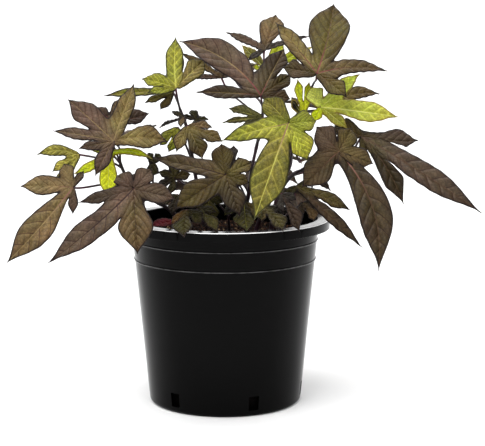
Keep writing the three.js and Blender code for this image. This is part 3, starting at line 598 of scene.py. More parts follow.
def build_pot():
    outline = pot_outline()
    turns, open_faces = pot_turns()
    count = len(turns)
    points = [(r * cos(a) * MM, r * sin(a) * MM, z * MM) for r, z in outline for a in turns]
    low = [i for i, (_, z) in enumerate(outline) if z == SLOT_FOOT]
    high = [i for i, (_, z) in enumerate(outline) if z == SLOT_TOP]
    faces = []
    for i in range(len(outline) - 1):
        for k in range(count):
            if i not in (low[0], high[1]) or k not in open_faces:
                n = (k + 1) % count
                faces.append((i * count + k, i * count + n, (i + 1) * count + n, (i + 1) * count + k))
    faces += slot_sides(open_faces, count, low, high)
    faces.append(tuple(range(count))[::-1])
    faces.append(tuple(range((len(outline) - 1) * count, len(outline) * count)))
    mesh = new_mesh("pot_body", points, faces)
    # The wall's ring crests carry a painted grey highlight; the rim is a far glossier copy of the plastic
    # with a painted white highlight on its outer round.
    wall = pot_plastic("moulded_polypropylene_black", shine=0.05, painted_highlight="#4c4c4c")
    rim = pot_plastic("moulded_polypropylene_rim", shine=0.9, painted_highlight="#f0f0f0")
    piece("pot_body", mesh, [wall, rim], "pot_plastic", "pot")
    for face in mesh.polygons:
        lowest = min(mesh.vertices[k].co.z for k in face.vertices)
        face.material_index = int(lowest > (POT_HEIGHT - RIM_TOP) * MM)
    mesh.set_sharp_from_angle(angle=CREASE)


# ---------------------------------------------------------------- soil
SOIL_RADIUS = wall_radius(SOIL_EDGE_HEIGHT) - WALL - SOIL_GAP


def soil_base():
    """The top of the potting mix, domed and uneven, with a side and a bottom under it."""
    turns = [2 * pi * k / SOIL_SIDES for k in range(SOIL_SIDES)]
    points = [(0, 0, (SOIL_EDGE_HEIGHT + SOIL_CROWN) * MM)]
    for i in range(1, SOIL_RINGS + 1):
        share = i / SOIL_RINGS
        for a in turns:
            wave = sin(SOIL_WAVES * a + SOIL_WAVE_TURN * share)
            lift = SOIL_WAVE * wave * share * (1 - share)
            height = SOIL_EDGE_HEIGHT + SOIL_CROWN * (1 - share * share) + lift
            reach = share * SOIL_RADIUS
            points.append((reach * cos(a) * MM, reach * sin(a) * MM, height * MM))
    side = [
        (SOIL_RADIUS, SOIL_EDGE_HEIGHT - SOIL_SHOULDER),
        *((wall_radius(height) - WALL - gap, height) for height, gap in SOIL_SIDE),
        (FOOT_RADIUS - WALL - SOIL_FOOT_GAP, FLOOR + SOIL_GAP),
    ]
    points += [(radius * cos(a) * MM, radius * sin(a) * MM, height * MM)
               for radius, height in side for a in turns]
    faces = [(0, 1 + k, 1 + (k + 1) % SOIL_SIDES) for k in range(SOIL_SIDES)]
    last_ring = SOIL_RINGS + len(side) - 1
    for i in range(last_ring):
        for k in range(SOIL_SIDES):
            a, b = 1 + i * SOIL_SIDES + k, 1 + i * SOIL_SIDES + (k + 1) % SOIL_SIDES
            faces.append((a, a + SOIL_SIDES, b + SOIL_SIDES, b))
    last = 1 + last_ring * SOIL_SIDES
    faces.append(tuple(range(last, last + SOIL_SIDES))[::-1])
    return new_mesh("soil", points, faces)


def crumb_tree():
    """Roughens the top of the soil and strews it with crumbs and fibres of bark."""
    tree, given, add = new_tree("strew_potting_mix", {
        "Crumbs per square metre": 150000.0,
        "Fibres per square metre": 42000.0,
        "Crumb size": 1.3 * MM,
        "Fibre length": 9 * MM,
        "Roughness height": 2.2 * MM,
        "Seed": 7,
    })
    up = add("ShaderNodeSeparateXYZ", add("GeometryNodeInputNormal"), take="Z")
    is_top = add("FunctionNodeCompare", up, 0.6, data_type="FLOAT", operation="GREATER_THAN")
    place = add("GeometryNodeInputPosition")
    level = add("ShaderNodeVectorMath", place, (1, 1, 0), operation="MULTIPLY")
    from_middle = add("ShaderNodeVectorMath", level, take="Value", operation="LENGTH")
    lumps = add("SUBTRACT", add("NOISE", place, per_metre(5), 4, 0.6), 0.5)
    lift = add("ShaderNodeCombineXYZ", {"Z": add("MULTIPLY", lumps, given["Roughness height"])})
    ground = add("GeometryNodeSetPosition",
                 {"Geometry": given["Geometry"], "Selection": is_top, "Offset": lift})

    def strewn(density, instance, tilt, sizes, clear, seed):
        """Instances on the top, kept clear of its edge and turned, sized and shaded at random."""
        reach = (SOIL_RADIUS - clear) * MM
        inside = add("FunctionNodeCompare", from_middle, reach, data_type="FLOAT", operation="LESS_THAN")
        spots = add("GeometryNodeDistributePointsOnFaces", {
            "Mesh": ground,
            "Selection": add("FunctionNodeBooleanMath", is_top, inside, operation="AND"),
            "Density": density,
            "Seed": add("ADD", given["Seed"], seed),
        })
        turn, size = (
            add("FunctionNodeRandomValue", {0: low, 1: high, "Seed": own_seed}, data_type="FLOAT_VECTOR")
            for own_seed, low, high in (
                (seed + 1, (-tilt, -tilt, -pi), (tilt, tilt, pi)), (seed + 2, *sizes)))
        crowd = add("GeometryNodeInstanceOnPoints", {
            "Points": spots,
            "Instance": instance,
            "Rotation": add("FunctionNodeEulerToRotation", turn),
            "Scale": size,
        })
        shade = add("FunctionNodeRandomValue", {2: 0.12, 3: 1.0, "Seed": seed + 3}, take=1)
        return add("GeometryNodeStoreNamedAttribute",
                   {"Geometry": crowd, "Name": "bit", "Value": shade},
                   data_type="FLOAT", domain="INSTANCE")

    crumb = add("GeometryNodeMeshUVSphere", {"Radius": given["Crumb size"], "Segments": 7, "Rings": 5})
    crumbs = strewn(given["Crumbs per square metre"], crumb, tilt=3.0,
                    sizes=((0.5, 0.4, 0.3), (1.5, 1.1, 0.9)), clear=3.5, seed=11)
    half = add("MULTIPLY", given["Fibre length"], 0.5)
    line = add("GeometryNodeCurvePrimitiveLine", {
        "Start": add("ShaderNodeCombineXYZ", add("MULTIPLY", half, -1)),
        "End": add("ShaderNodeCombineXYZ", half),
    })
    thread = add("GeometryNodeCurveToMesh", {
        "Curve": add("GeometryNodeResampleCurve", {"Curve": line, "Count": 6}),
        "Profile Curve": add("GeometryNodeCurvePrimitiveCircle",
                             {"Resolution": 4, "Radius": FIBRE_RADIUS * MM}),
        "Fill Caps": True,
    })
    fibres = strewn(given["Fibres per square metre"], thread, tilt=0.35,
                    sizes=((0.4, 0.7, 0.7), (1.3, 1.6, 1.6)), clear=7, seed=31)

    loose = add("GeometryNodeRealizeInstances", add("GeometryNodeJoinGeometry", [fibres, crumbs]))
    bend = add("NOISE", add("GeometryNodeInputPosition"), CRUMPLE_RATE, 2, take="Color")
    shift = add("ShaderNodeVectorMath", bend, (0.5, 0.5, 0.5), operation="SUBTRACT")
    small = add("ShaderNodeVectorMath", {0: shift, "Scale": CRUMPLE * MM}, operation="SCALE")
    uneven = add("GeometryNodeSetPosition", {"Geometry": loose, "Offset": small})
    end_tree(add, add("GeometryNodeJoinGeometry", [uneven, ground]), given["Material"])
    return tree


def build_soil():
    material = potting_mix()
    mesh = run_tree(soil_base(), crumb_tree(), material)
    piece("potting_mix", mesh, [material], "potting_soil", "soil")


# ---------------------------------------------------------------- stems and stalks
class Path:
    """A smooth centripetal curve through places in mm; a share is 0 at its foot and 1 at its tip."""

    def __init__(self, places):
        self.places = [np.array(p, float) for p in places]

    def at(self, share):
        last = len(self.places) - 1
        span = min(int(share * last), last - 1)
        t = share * last - span
        p1, p2 = self.places[span], self.places[span + 1]
        p0 = self.places[span - 1] if span > 0 else 2 * p1 - p2
        p3 = self.places[span + 2] if span + 2 <= last else 2 * p2 - p1
        d0, d1, d2 = (max(1e-3, np.linalg.norm(b - a)) ** 0.5 for a, b in ((p0, p1), (p1, p2), (p2, p3)))
        leave = ((p1 - p0) / d0 - (p2 - p0) / (d0 + d1) + (p2 - p1) / d1) * d1
        reach = ((p2 - p1) / d1 - (p3 - p1) / (d1 + d2) + (p3 - p2) / d2) * d1
        return (p1 + leave * t + (3 * (p2 - p1) - 2 * leave - reach) * t ** 2
                + (2 * (p1 - p2) + leave + reach) * t ** 3)

    def heading(self, share):
        return unit(self.at(min(1, share + 1e-4)) - self.at(max(0, share - 1e-4)))


def swelling(shares, middle, swell):
    """How much girth a swelling adds round its middle."""
    height, length = swell
    return height * np.exp(-((shares - middle) / length) ** 2)


def stem_strand(vine, leaves):
    """A stem's places, radii and flush. It swells a little at each node where a stalk leaves."""
    path = Path(vine["path"])
    shares = np.linspace(0, 1, STEM_ROWS)
    girth = vine["thick"] + (vine["thin"] - vine["thick"]) * shares
    for leaf in leaves:
        girth *= 1 + swelling(shares, leaf["share"], NODE_SWELL)
    girth[-1] *= TIP_GIRTH
    return [path.at(s) for s in shares], STEM_SLIM * girth, STEM_FLUSH * shares


def stalk_strand(leaf, vine, radius):
    """A leaf stalk's places, radii and flush, from its stem up under the blade's junction."""
    path = Path(vine["path"])
    facing = facing_of(leaf)
    start = path.at(leaf["share"])
    middle = unit(sum(np.array(lobe[:3], float) for lobe in leaf["lobes"]))
    arriving = unit(STALK_REACH * middle + facing)
    end = np.array(leaf["at"], float) - facing * (0.4 * BLADE)
    span = np.linalg.norm(end - start)
    outward = unit(STALK_LEAN * path.heading(leaf["share"]) + unit(end - start))
    first = np.array(leaf["by"], float) if "by" in leaf else start + outward * STALK_EASE * span
    second = end - arriving * STALK_EASE * span
    shares = np.linspace(0, 1, STALK_ROWS)
    places = [
        (1 - t) ** 3 * start + 3 * t * (1 - t) ** 2 * first + 3 * t * t * (1 - t) * second + t ** 3 * end
        for t in shares]
    girth = 1 + STALK_SWELL * (1 - shares)
    girth += swelling(shares, 0, FOOT_SWELL) + swelling(shares, 1, JUNCTION_SWELL)
    return places, STEM_SLIM * radius * girth, shares ** 2


def grown_strands(name, vine, leaves, radius, grow, skin):
    """A stem and its stalks as one plain mesh."""
    points, edges, girths, flushes = [], [], [], []
    strands = [stem_strand(vine, leaves)] + [stalk_strand(one, vine, radius) for one in leaves]
    for places, girth, flush in strands:
        first = len(points)
        points += [tuple(p * MM) for p in places]
        edges += [(first + i, first + i + 1) for i in range(len(places) - 1)]
        girths += list(girth)
        flushes += list(flush)
    mesh = new_mesh(name, points, [], edges)
    mesh.attributes.new("girth", "FLOAT", "POINT").data.foreach_set("value", np.array(girths) * MM)
    mesh.attributes.new("flush", "FLOAT", "POINT").data.foreach_set("value", np.array(flushes))
    return run_tree(mesh, grow, skin)


def strand_tree():
    """Gives lines their girth, closes their ends and makes the skin a little uneven."""
    tree, given, add = new_tree("grow_stems", {"Sides": 12, "Unevenness": 0.35 * MM})
    body = add("GeometryNodeCurveToMesh", {
        "Curve": add("GeometryNodeMeshToCurve", given["Geometry"]),
        "Profile Curve": add("GeometryNodeCurvePrimitiveCircle",
                             {"Resolution": given["Sides"], "Radius": 1.0}),
        "Scale": add("GeometryNodeInputNamedAttribute", {"Name": "girth"}, data_type="FLOAT"),
        "Fill Caps": True,
    })
    lumps = add("SUBTRACT", add("NOISE", add("GeometryNodeInputPosition"), per_metre(6), 2), 0.5)
    out = add("MULTIPLY", lumps, given["Unevenness"])
    offset = add("ShaderNodeVectorMath", {0: add("GeometryNodeInputNormal"), "Scale": out},
                 operation="SCALE")
    grown = add("GeometryNodeSetPosition", {"Geometry": body, "Offset": offset})
    end_tree(add, grown, given["Material"])
    return tree


# ---------------------------------------------------------------- leaf blades
def facing_of(leaf):
    """The way that a blade's upper side looks: as given, or square to its lobes."""
    if "facing" in leaf:
        return unit(leaf["facing"])
    ways = [unit(lobe[:3]) for lobe in leaf["lobes"]]
    return unit(sum(np.cross(a, b) for a, b in zip(ways, ways[1:])))


class Lobe:
    """One lobe of a blade, in mm from the leaf's junction: its bent midrib and its half width."""

    def __init__(self, facing, x, y, z, width, sweep=0):
        self.tip = np.array([x, y, z], float)
        self.width = width
        rise = self.tip @ facing
        level = self.tip - facing * rise
        self.reach = np.linalg.norm(level)
        self.length = np.linalg.norm(self.tip)
        self.heading = unit(level)
        self.across = unit(np.cross(facing, level))
        lift = 0.5 * rise * (1 - LOBE_BEND) + LOBE_ARCH * self.length
        self.control = 0.5 * level + facing * lift + self.across * sweep

    def rib(self, t):
        t = np.asarray(t, float)[..., None]
        return self.control * (2 * t * (1 - t)) + self.tip * t * t

    def slope(self, t):
        t = np.asarray(t, float)[..., None]
        way = self.control * (2 - 4 * t) + self.tip * (2 * t)
        return way / np.linalg.norm(way, axis=-1, keepdims=True)

    def up(self, t):
        way = np.cross(self.slope(t), self.across)
        return way / np.linalg.norm(way, axis=-1, keepdims=True)


def notch_between(a, b, facing, share, given):
    """The notch between two lobes: its place, and how far along and out from their midribs it is."""
    middle = unit(a.heading + b.heading)
    half = np.arccos(min(1, a.heading @ middle))
    spread = share * (a.width + b.width) / 2
    reach = given or min(NOTCH_LIMIT * min(a.length, b.length), spread / sin(half))
    foot = reach * cos(half)
    lift = sum(lobe.rib(min(1, foot / lobe.reach)) @ facing for lobe in (a, b)) / 2
    away = unit(np.cross(middle, facing))
    place = middle * reach + facing * lift
    return {"place": place, "foot": foot, "spread": reach * sin(half), "free": False, "away": away}


def notch_beside(lobe, side):
    """Where the first or last lobe's free margin starts at the junction."""
    spread = FREE_NOTCH_SPREAD * lobe.width
    place = lobe.heading * FREE_NOTCH_OUT * spread + lobe.across * side * spread
    return {"place": place, "foot": FREE_NOTCH_FOOT * spread, "spread": spread, "free": True}


def keep_apart(edge, notch, side):
    """Moves places on a lobe's margin back to its own side of the plane halfway to its neighbour."""
    if notch["free"]:
        return edge
    past = np.linalg.norm(edge - notch["place"], axis=1)
    room = side * NOTCH_ROOM * np.clip(past / NOTCH_CLEAR, 0, 1) - edge @ notch["away"]
    return edge + np.where(side * room > 0, room, 0)[:, None] * notch["away"]


def edge_line(lobe, notch, start, t, side, index):
    """The margin of a half lobe from its notch to its tip, and the half width there."""
    def formula(t):
        grown = np.clip((t - start) / (WIDEST - start), 0, 1)
        gone = np.clip((t - WIDEST) / (1 - WIDEST), 0, 1)
        swell = notch["spread"] + (lobe.width - notch["spread"]) * np.sin(pi / 2 * grown)
        width = swell * np.maximum(0, np.cos(pi / 2 * gone)) ** TAPER
        wave = WAVE_HEIGHT * np.sin(WAVE_RATE * t + WAVE_STEP * index + side)
        rise = width * (grown * MIDRIB_FOLD + wave)
        out = lobe.across * (side * width)[..., None] + lobe.up(t) * rise[..., None]
        return lobe.rib(t) + out, width

    edge, width = formula(t)
    first, _ = formula(np.array([start]))
    settled = np.clip((t - start) / max(LEAST_SETTLE, NECK_SETTLE * (WIDEST - start)), 0, 1)
    edge = edge + (notch["place"] - first[0]) * ((1 - settled) ** 2)[:, None]
    return keep_apart(edge, notch, side), width


class Blade:
    """Collects the points and faces of a blade's middle surface, with what the skin needs to know."""

    def __init__(self):
        self.points, self.tones, self.ease = [], [], []
        self.quads, self.run, self.form = [], [], []

    def put(self, places, tones, ease):
        first = len(self.points)
        self.points += list(places)
        self.tones += list(tones)
        self.ease += list(ease)
        return np.arange(first, len(self.points))


def tones_out(heart, tone, t, start):
    """A lobe's tone along it, from the tone that the whole blade shares at its junction."""
    return heart + (tone - heart) * smooth(0, TONE_REACH, t / start)[:, None]


def ease_out(t, start):
    """How far each place along a lobe is eased: fully at the junction, hardly further out."""
    return np.clip(EASE_FALL[0] - t / start * EASE_FALL[1], LEAST_EASE, 1) * (t < FIRM_TIP)


def middle_surface(leaf):
    """Each half lobe is a grid from midrib to margin; neighbours share the line to their notch."""
    facing = facing_of(leaf)
    lobes = [Lobe(facing, *given) for given in leaf["lobes"]]
    tones = [np.array(TONES[name]) for name in leaf["tones"]]
    spread = leaf.get("neck", NOTCH_SPREAD)
    known = leaf.get("notches", [0] * len(lobes))
    between = [notch_between(a, b, facing, spread, out) for a, b, out in zip(lobes, lobes[1:], known)]
    notches = [notch_beside(lobes[0], -1), *between, notch_beside(lobes[-1], 1)]
    blade = Blade()
    heart = np.mean(tones, axis=0)
    blade.put([np.zeros(3)], [heart], [1])
    steps = np.arange(1, WEB_ROWS + 1) / WEB_ROWS
    for i, notch in enumerate(notches):
        seam_tone = np.mean(tones[max(0, i - 1):i + 1], axis=0)
        shades = [heart + (seam_tone - heart) * s for s in steps]
        notch["line"] = blade.put([notch["place"] * s for s in steps], shades, [1] * WEB_ROWS)
    for i, lobe in enumerate(lobes):
        feet = 0.5 * (notches[i]["foot"] + notches[i + 1]["foot"])
        start = np.clip(feet / lobe.reach, NECK_FIRST, NECK_LAST)
        rows = max(FEWEST_ROWS, ceil((1 - start) * lobe.length / GRID))
        t = np.concatenate([start * steps, start + (1 - start) * np.arange(1, rows + 1) / rows])
        shades = tones_out(heart, tones[i], t, start)
        ribs = blade.put(lobe.rib(t), shades, ease_out(t, start))
        for side in (-1, 1):
            half_lobe(blade, lobe, notches[i + (side > 0)], i, side, start, t, ribs, shades)
    return blade


def half_lobe(blade, lobe, notch, index, side, start, t, ribs, shades):
    """Adds one side of a lobe to its blade: the web up to its notch, then the free half."""
    columns = int(np.clip(ceil(lobe.width / (GRID * COLUMN)), *COLUMNS))
    u = (np.arange(columns + 1) / columns) ** COLUMN_CROWD
    webs, rows = WEB_ROWS, len(t)
    rib = lobe.rib(t)
    edge = np.zeros_like(rib)
    width = np.zeros(rows)
    edge[:webs] = notch["place"] * (t[:webs] / start)[:, None]
    edge[webs:], width[webs:] = edge_line(lobe, notch, start, t[webs:], side, index)
    width[:webs] = np.linalg.norm(edge[:webs] - rib[:webs], axis=1)
    rounding = (HALF_CROWN * u * (1 - u))[None, :, None] * (width * MIDRIB_FOLD)[:, None, None]
    grid = rib[:, None] + (edge - rib)[:, None] * u[None, :, None] + rounding * lobe.up(t)[:, None, :]

    place_at = np.zeros((rows + 1, columns + 1), int)
    place_at[1:, 0] = ribs
    place_at[1:webs + 1, -1] = notch["line"]
    place_at[rows, :] = ribs[-1]
    ease = ease_out(t, start)
    for r in range(rows - 1):
        last = columns if r < webs else columns + 1
        toward = blade.tones[notch["line"][r]] if r < webs else shades[r]
        tones = shades[r] + (toward - shades[r]) * u[1:last, None]
        place_at[r + 1, 1:last] = blade.put(grid[r, 1:last], tones, [ease[r]] * (last - 1))

    scale = VEIN_GAP / np.clip(lobe.length / VEINS, CLOSEST_VEINS, WIDEST_VEINS)
    offset = grid - rib[:, None]
    arc = np.concatenate([[0], np.cumsum(np.linalg.norm(np.diff(rib, axis=0), axis=1))])
    arc += np.linalg.norm(rib[0])
    origin = np.zeros(columns + 1)
    along = np.vstack([origin, arc[:, None] + np.einsum("rcx,rx->rc", offset, lobe.slope(t))]) * scale
    out = np.vstack([origin, side * np.linalg.norm(offset, axis=2)]) * scale
    margin = (1 - u)[None, :] * width[:, None]
    if not notch["free"]:
        gap = np.linalg.norm(notch["place"]) * (1 - t[:webs] / start)
        margin[:webs] = np.hypot(margin[:webs], gap[:, None])
    margin = np.vstack([np.full(columns + 1, JUNCTION_DEPTH), margin])
    share = np.concatenate([[0], t])[:, None] * np.ones(columns + 1)

    def corners(values):
        turned = [(0, 0), (1, 0), (1, 1), (0, 1)][::side]
        return np.stack([values[a:a + rows, b:b + columns].ravel() for a, b in turned], 1)

    blade.quads.append(corners(place_at))
    blade.run.append(np.stack([corners(along), corners(out)], 2))
    blade.form.append(np.stack([corners(share), corners(margin)], 2))


def relief(run, form, phase):
    """How far the upper face stands up, mm: quilted between side veins, with a groove at the midrib."""
    along, across, margin = run[:, 0], np.abs(run[:, 1]), form[:, 1]
    start = along - across * VEIN_LEAN - across ** 2 * VEIN_CURVE
    turn = (start + np.where(run[:, 1] > 0, 0.5 * VEIN_GAP, 0)) / VEIN_GAP
    swell = np.abs(np.sin(pi * turn)) ** QUILT_SHAPE
    body = smooth(*QUILT_START, across) * smooth(*QUILT_END, margin)
    waves = np.sin(along * RIPPLE_RATE + phase + RIPPLE_SIDES * np.sign(run[:, 1]))
    ripple = RIPPLE * waves * smooth(RIPPLE_DEPTH, 0.0, margin)
    return QUILT * swell * body + ripple - GROOVE * np.exp(-(across / GROOVE_WIDTH) ** 2)


def open_edges(quads, count):
    """Which points ease each other, the edges that only one face has, and which points are on them."""
    pairs = np.vstack([quads[:, [k, (k + 1) % 4]] for k in range(4)])
    pairs = pairs[pairs[:, 0] != pairs[:, 1]]
    there = pairs[:, 0] * count + pairs[:, 1]
    is_open = ~np.isin(there, pairs[:, 1] * count + pairs[:, 0])
    border = pairs[is_open]
    on_border = np.zeros(count, bool)
    on_border[border.ravel()] = True
    inner = pairs[~(on_border[pairs[:, 0]] & ~is_open)]
    return np.vstack([inner, border[:, ::-1]]), border, on_border


def averaged(values, edges):
    """The mean of each point's neighbours."""
    count = len(values)
    total = np.maximum(1, np.bincount(edges[:, 0], minlength=count))
    sums = [np.bincount(edges[:, 0], values[edges[:, 1], k], count) for k in range(3)]
    return np.stack(sums, 1) / total[:, None]


def normals(points, quads):
    way = np.zeros_like(points)
    corner = [points[quads[:, k]] for k in range(4)]
    face = np.cross(corner[2] - corner[0], corner[3] - corner[1])
    for k in range(4):
        for axis in range(3):
            way[:, axis] += np.bincount(quads[:, k], face[:, axis], len(points))
    return way / np.maximum(1e-9, np.linalg.norm(way, axis=1))[:, None]


def leaf_arrays(leaf, seed):
    """Points, faces and skin data of a whole leaf blade, in mm."""
    blade = middle_surface(leaf)
    points, tones = np.array(blade.points), np.array(blade.tones)
    quads, run, form = np.vstack(blade.quads), np.vstack(blade.run), np.vstack(blade.form)
    ease = np.array(blade.ease)[:, None]
    count = len(points)
    edges, border, on_border = open_edges(quads, count)
    for _ in range(EASE_ROUNDS):
        points += POINT_EASE * ease * (averaged(points, edges) - points)
        tones += TONE_EASE * (averaged(tones, edges) - tones)

    corner, flat_run, flat_form = quads.ravel(), run.reshape(-1, 2), form.reshape(-1, 2)
    lift = np.bincount(corner, relief(flat_run, flat_form, seed * RIPPLE_STEP), count)
    lift /= np.maximum(1, np.bincount(corner, minlength=count))
    points += normals(points, quads) * lift[:, None]
    across = np.full(count, np.inf)
    np.minimum.at(across, corner, np.abs(flat_run[:, 1]))
    share = np.zeros(count)
    np.maximum.at(share, corner, flat_form[:, 0])
    half = np.where(on_border, MARGIN_HALF, 0.5) * BLADE
    tip_fade = np.clip(1 - share, 0, 1) ** RIDGE_FADE
    ridge = RIDGE * np.exp(-(across / RIDGE_WIDTH) ** 2) * tip_fade * ~on_border
    way = normals(points, quads)
    upper = points + way * half[:, None]
    lower = points - way * (half + ridge)[:, None]

    rim = np.stack([border[:, 1], border[:, 0], border[:, 0] + count, border[:, 1] + count], 1)
    rim_run = np.tile([0.0, OUTSIDE_VEINS], (len(rim), 4, 1))
    rim_form = np.tile([0.5, 0.0], (len(rim), 4, 1))
    near, far = (np.array(TONES[shade]) for shade in (leaf["rib"].split() * 2)[:2])
    rib_tone = near + (far - near) * smooth(*MIDRIB_TURN, share)[:, None]
    return {
        "points": np.vstack([upper, lower]) + np.array(leaf["at"], float),
        "faces": np.vstack([quads, quads[:, ::-1] + count, rim]),
        "run": np.concatenate([run, run[:, ::-1], rim_run]),
        "form": np.concatenate([form, form[:, ::-1], rim_form]),
        "tone": np.vstack([tones, tones]),
        "rib": np.vstack([rib_tone, rib_tone]),
        "under": np.repeat([0.0, 1.0], count),
    }


def blade_mesh(name, blades):
    """One mesh of one or more blades, with vein coordinates as UV maps and colours as attributes."""
    faces, run, form = [], [], []
    first = 0
    for data in blades:
        quads = data["faces"]
        twin = np.stack([quads[:, k] == quads[:, (k + 1) % 4] for k in range(4)])
        kinds = [(~twin.any(axis=0), [0, 1, 2, 3])]
        for k in range(4):  # a face with two corners in one place is a triangle
            keep = [c for c in range(4) if c != k]
            kinds.append((twin[k] & ~twin[keep].any(axis=0), keep))
        for some, keep in kinds:
            faces += (quads[some][:, keep] + first).tolist()
            run.append(data["run"][some][:, keep].reshape(-1, 2))
            form.append(data["form"][some][:, keep].reshape(-1, 2))
        first += len(data["points"])
    points = np.vstack([data["points"] for data in blades]) * MM
    mesh = new_mesh(name, points.tolist(), faces)
    for layer, values in (("run", run), ("form", form)):
        mesh.uv_layers.new(name=layer).data.foreach_set("uv", np.vstack(values).ravel())
    for layer in ("tone", "rib"):
        colours = np.vstack([data[layer] for data in blades])
        colours = np.hstack([colours, np.ones((len(colours), 1))])
        mesh.attributes.new(layer, "FLOAT_COLOR", "POINT").data.foreach_set("color", colours.ravel())
    under = np.concatenate([data["under"] for data in blades])
    mesh.attributes.new("under", "FLOAT", "POINT").data.foreach_set("value", under)
    return mesh


# ---------------------------------------------------------------- the plant, as a grower would list it
# Lobe tones are partly the leaves' own colours and partly painted shade: the darkest, such as ink, deep
# and dark_green, were darkened for the low leaves and shoots that lie in the shade under the crown.
TONES = {name: linear(shade)[:3] for name, shade in {
    "ink": "#1c170d", "deep": "#2a2212", "shade": "#352a19", "dusk": "#403422", "moss": "#473b1a",
    "dark_green": "#393516", "green": "#4f4a26", "grey": "#45413a", "dark_plum": "#4b3d2f",
    "umber": "#4d4029", "amber": "#6f5024", "olive_umber": "#52471f", "plum": "#584738",
    "bronze": "#5e4d30", "olive_bronze": "#64572f", "mauve": "#635141", "warm_bronze": "#69552f",
    "tan": "#6e5c3a", "olive_tan": "#75663a", "pale_tan": "#83714a", "dull_olive": "#696428",
    "olive": "#6f7029", "pale_olive": "#80822d", "yellow_olive": "#8e902f",
    "bright_olive": "#a0a23b", "lime": "#a9b523", "bright_lime": "#b3c410", "white_lime": "#dfe36a",
    "fresh_lime": "#d2dc2a", "yellow_lime": "#c9d84e", "sandy_olive": "#8c813c",
    "straw_olive": "#b4a850", "red": "#5e1c20", "rose": "#74303c", "pale_rose": "#80584e",
    "straw": "#8d7a52", "dark_rib": "#241213", "pale_green": "#b9b65c", "lime_rib": "#dde08a",
    "brown_rib": "#4b3628",
}.items()}

VINES = {
    "right": dict(thick=2.3, thin=1.2, path=[
        (24, -6, 122), (25, -6, 138), (38, -9, 165), (51, -10, 190),
        (50, -8, 215), (60, -5, 232), (68, 2, 247)]),
    "middle": dict(thick=1.9, thin=1.1, path=[
        (14, 4, 122), (14, 4, 138), (18, 1, 160), (21, -3, 184),
        (26, 2, 207), (30, 10, 228), (33, 22, 244)]),
    "low_right": dict(thick=2.2, thin=1.2, path=[
        (36, -18, 122), (36, -18, 138), (41, -19, 164),
        (53, -20, 182), (72, -21, 188), (94, -18, 192)]),
    "left": dict(thick=2, thin=1.1, path=[
        (-27, -14, 122), (-28, -14, 138), (-43, -16, 154),
        (-62, -16, 166), (-76, -15, 180), (-82, -10, 192)]),
    "left_back": dict(thick=2.2, thin=1.1, path=[
        (-14, 8, 122), (-14, 8, 138), (-20, 8, 160),
        (-27, 10, 199), (-31, 13, 218), (-36, 14, 231)]),
    "back_left": dict(thick=2.2, thin=1.2, path=[
        (-18, 30, 122), (-18, 30, 138), (-25, 38, 154), (-36, 49, 168), (-52, 56, 176)]),
    "back_right": dict(thick=2.3, thin=1.2, path=[
        (19, 26, 122), (19, 26, 138), (25, 35, 158), (36, 46, 180), (48, 52, 198), (52, 50, 214)]),
}


def leaf(skin, vine, share, at, tones, rib, *lobes, **more):
    """One leaf of the list, in mm.

    Its skin; the stem that carries it and how far along that its stalk leaves; the place of its
    junction; a tone for each lobe; one or two for its midribs; and each lobe as the x, y and z of its
    tip from the junction, its half width, and how far its midrib sweeps aside. It may also have a place
    that its stalk bends by, how far out each notch is, how wide the neck of its lobes is, and a facing.
    """
    return dict(skin=skin, vine=vine, share=share, at=at, tones=tones.split(), rib=rib,
                lobes=lobes, **more)


def sprout(share, at, tones, rib, *lobes, **more):
    """A leaf of a low shoot, which has its shoot's skin and stem."""
    return leaf("", "", share, at, tones, rib, *lobes, **more)


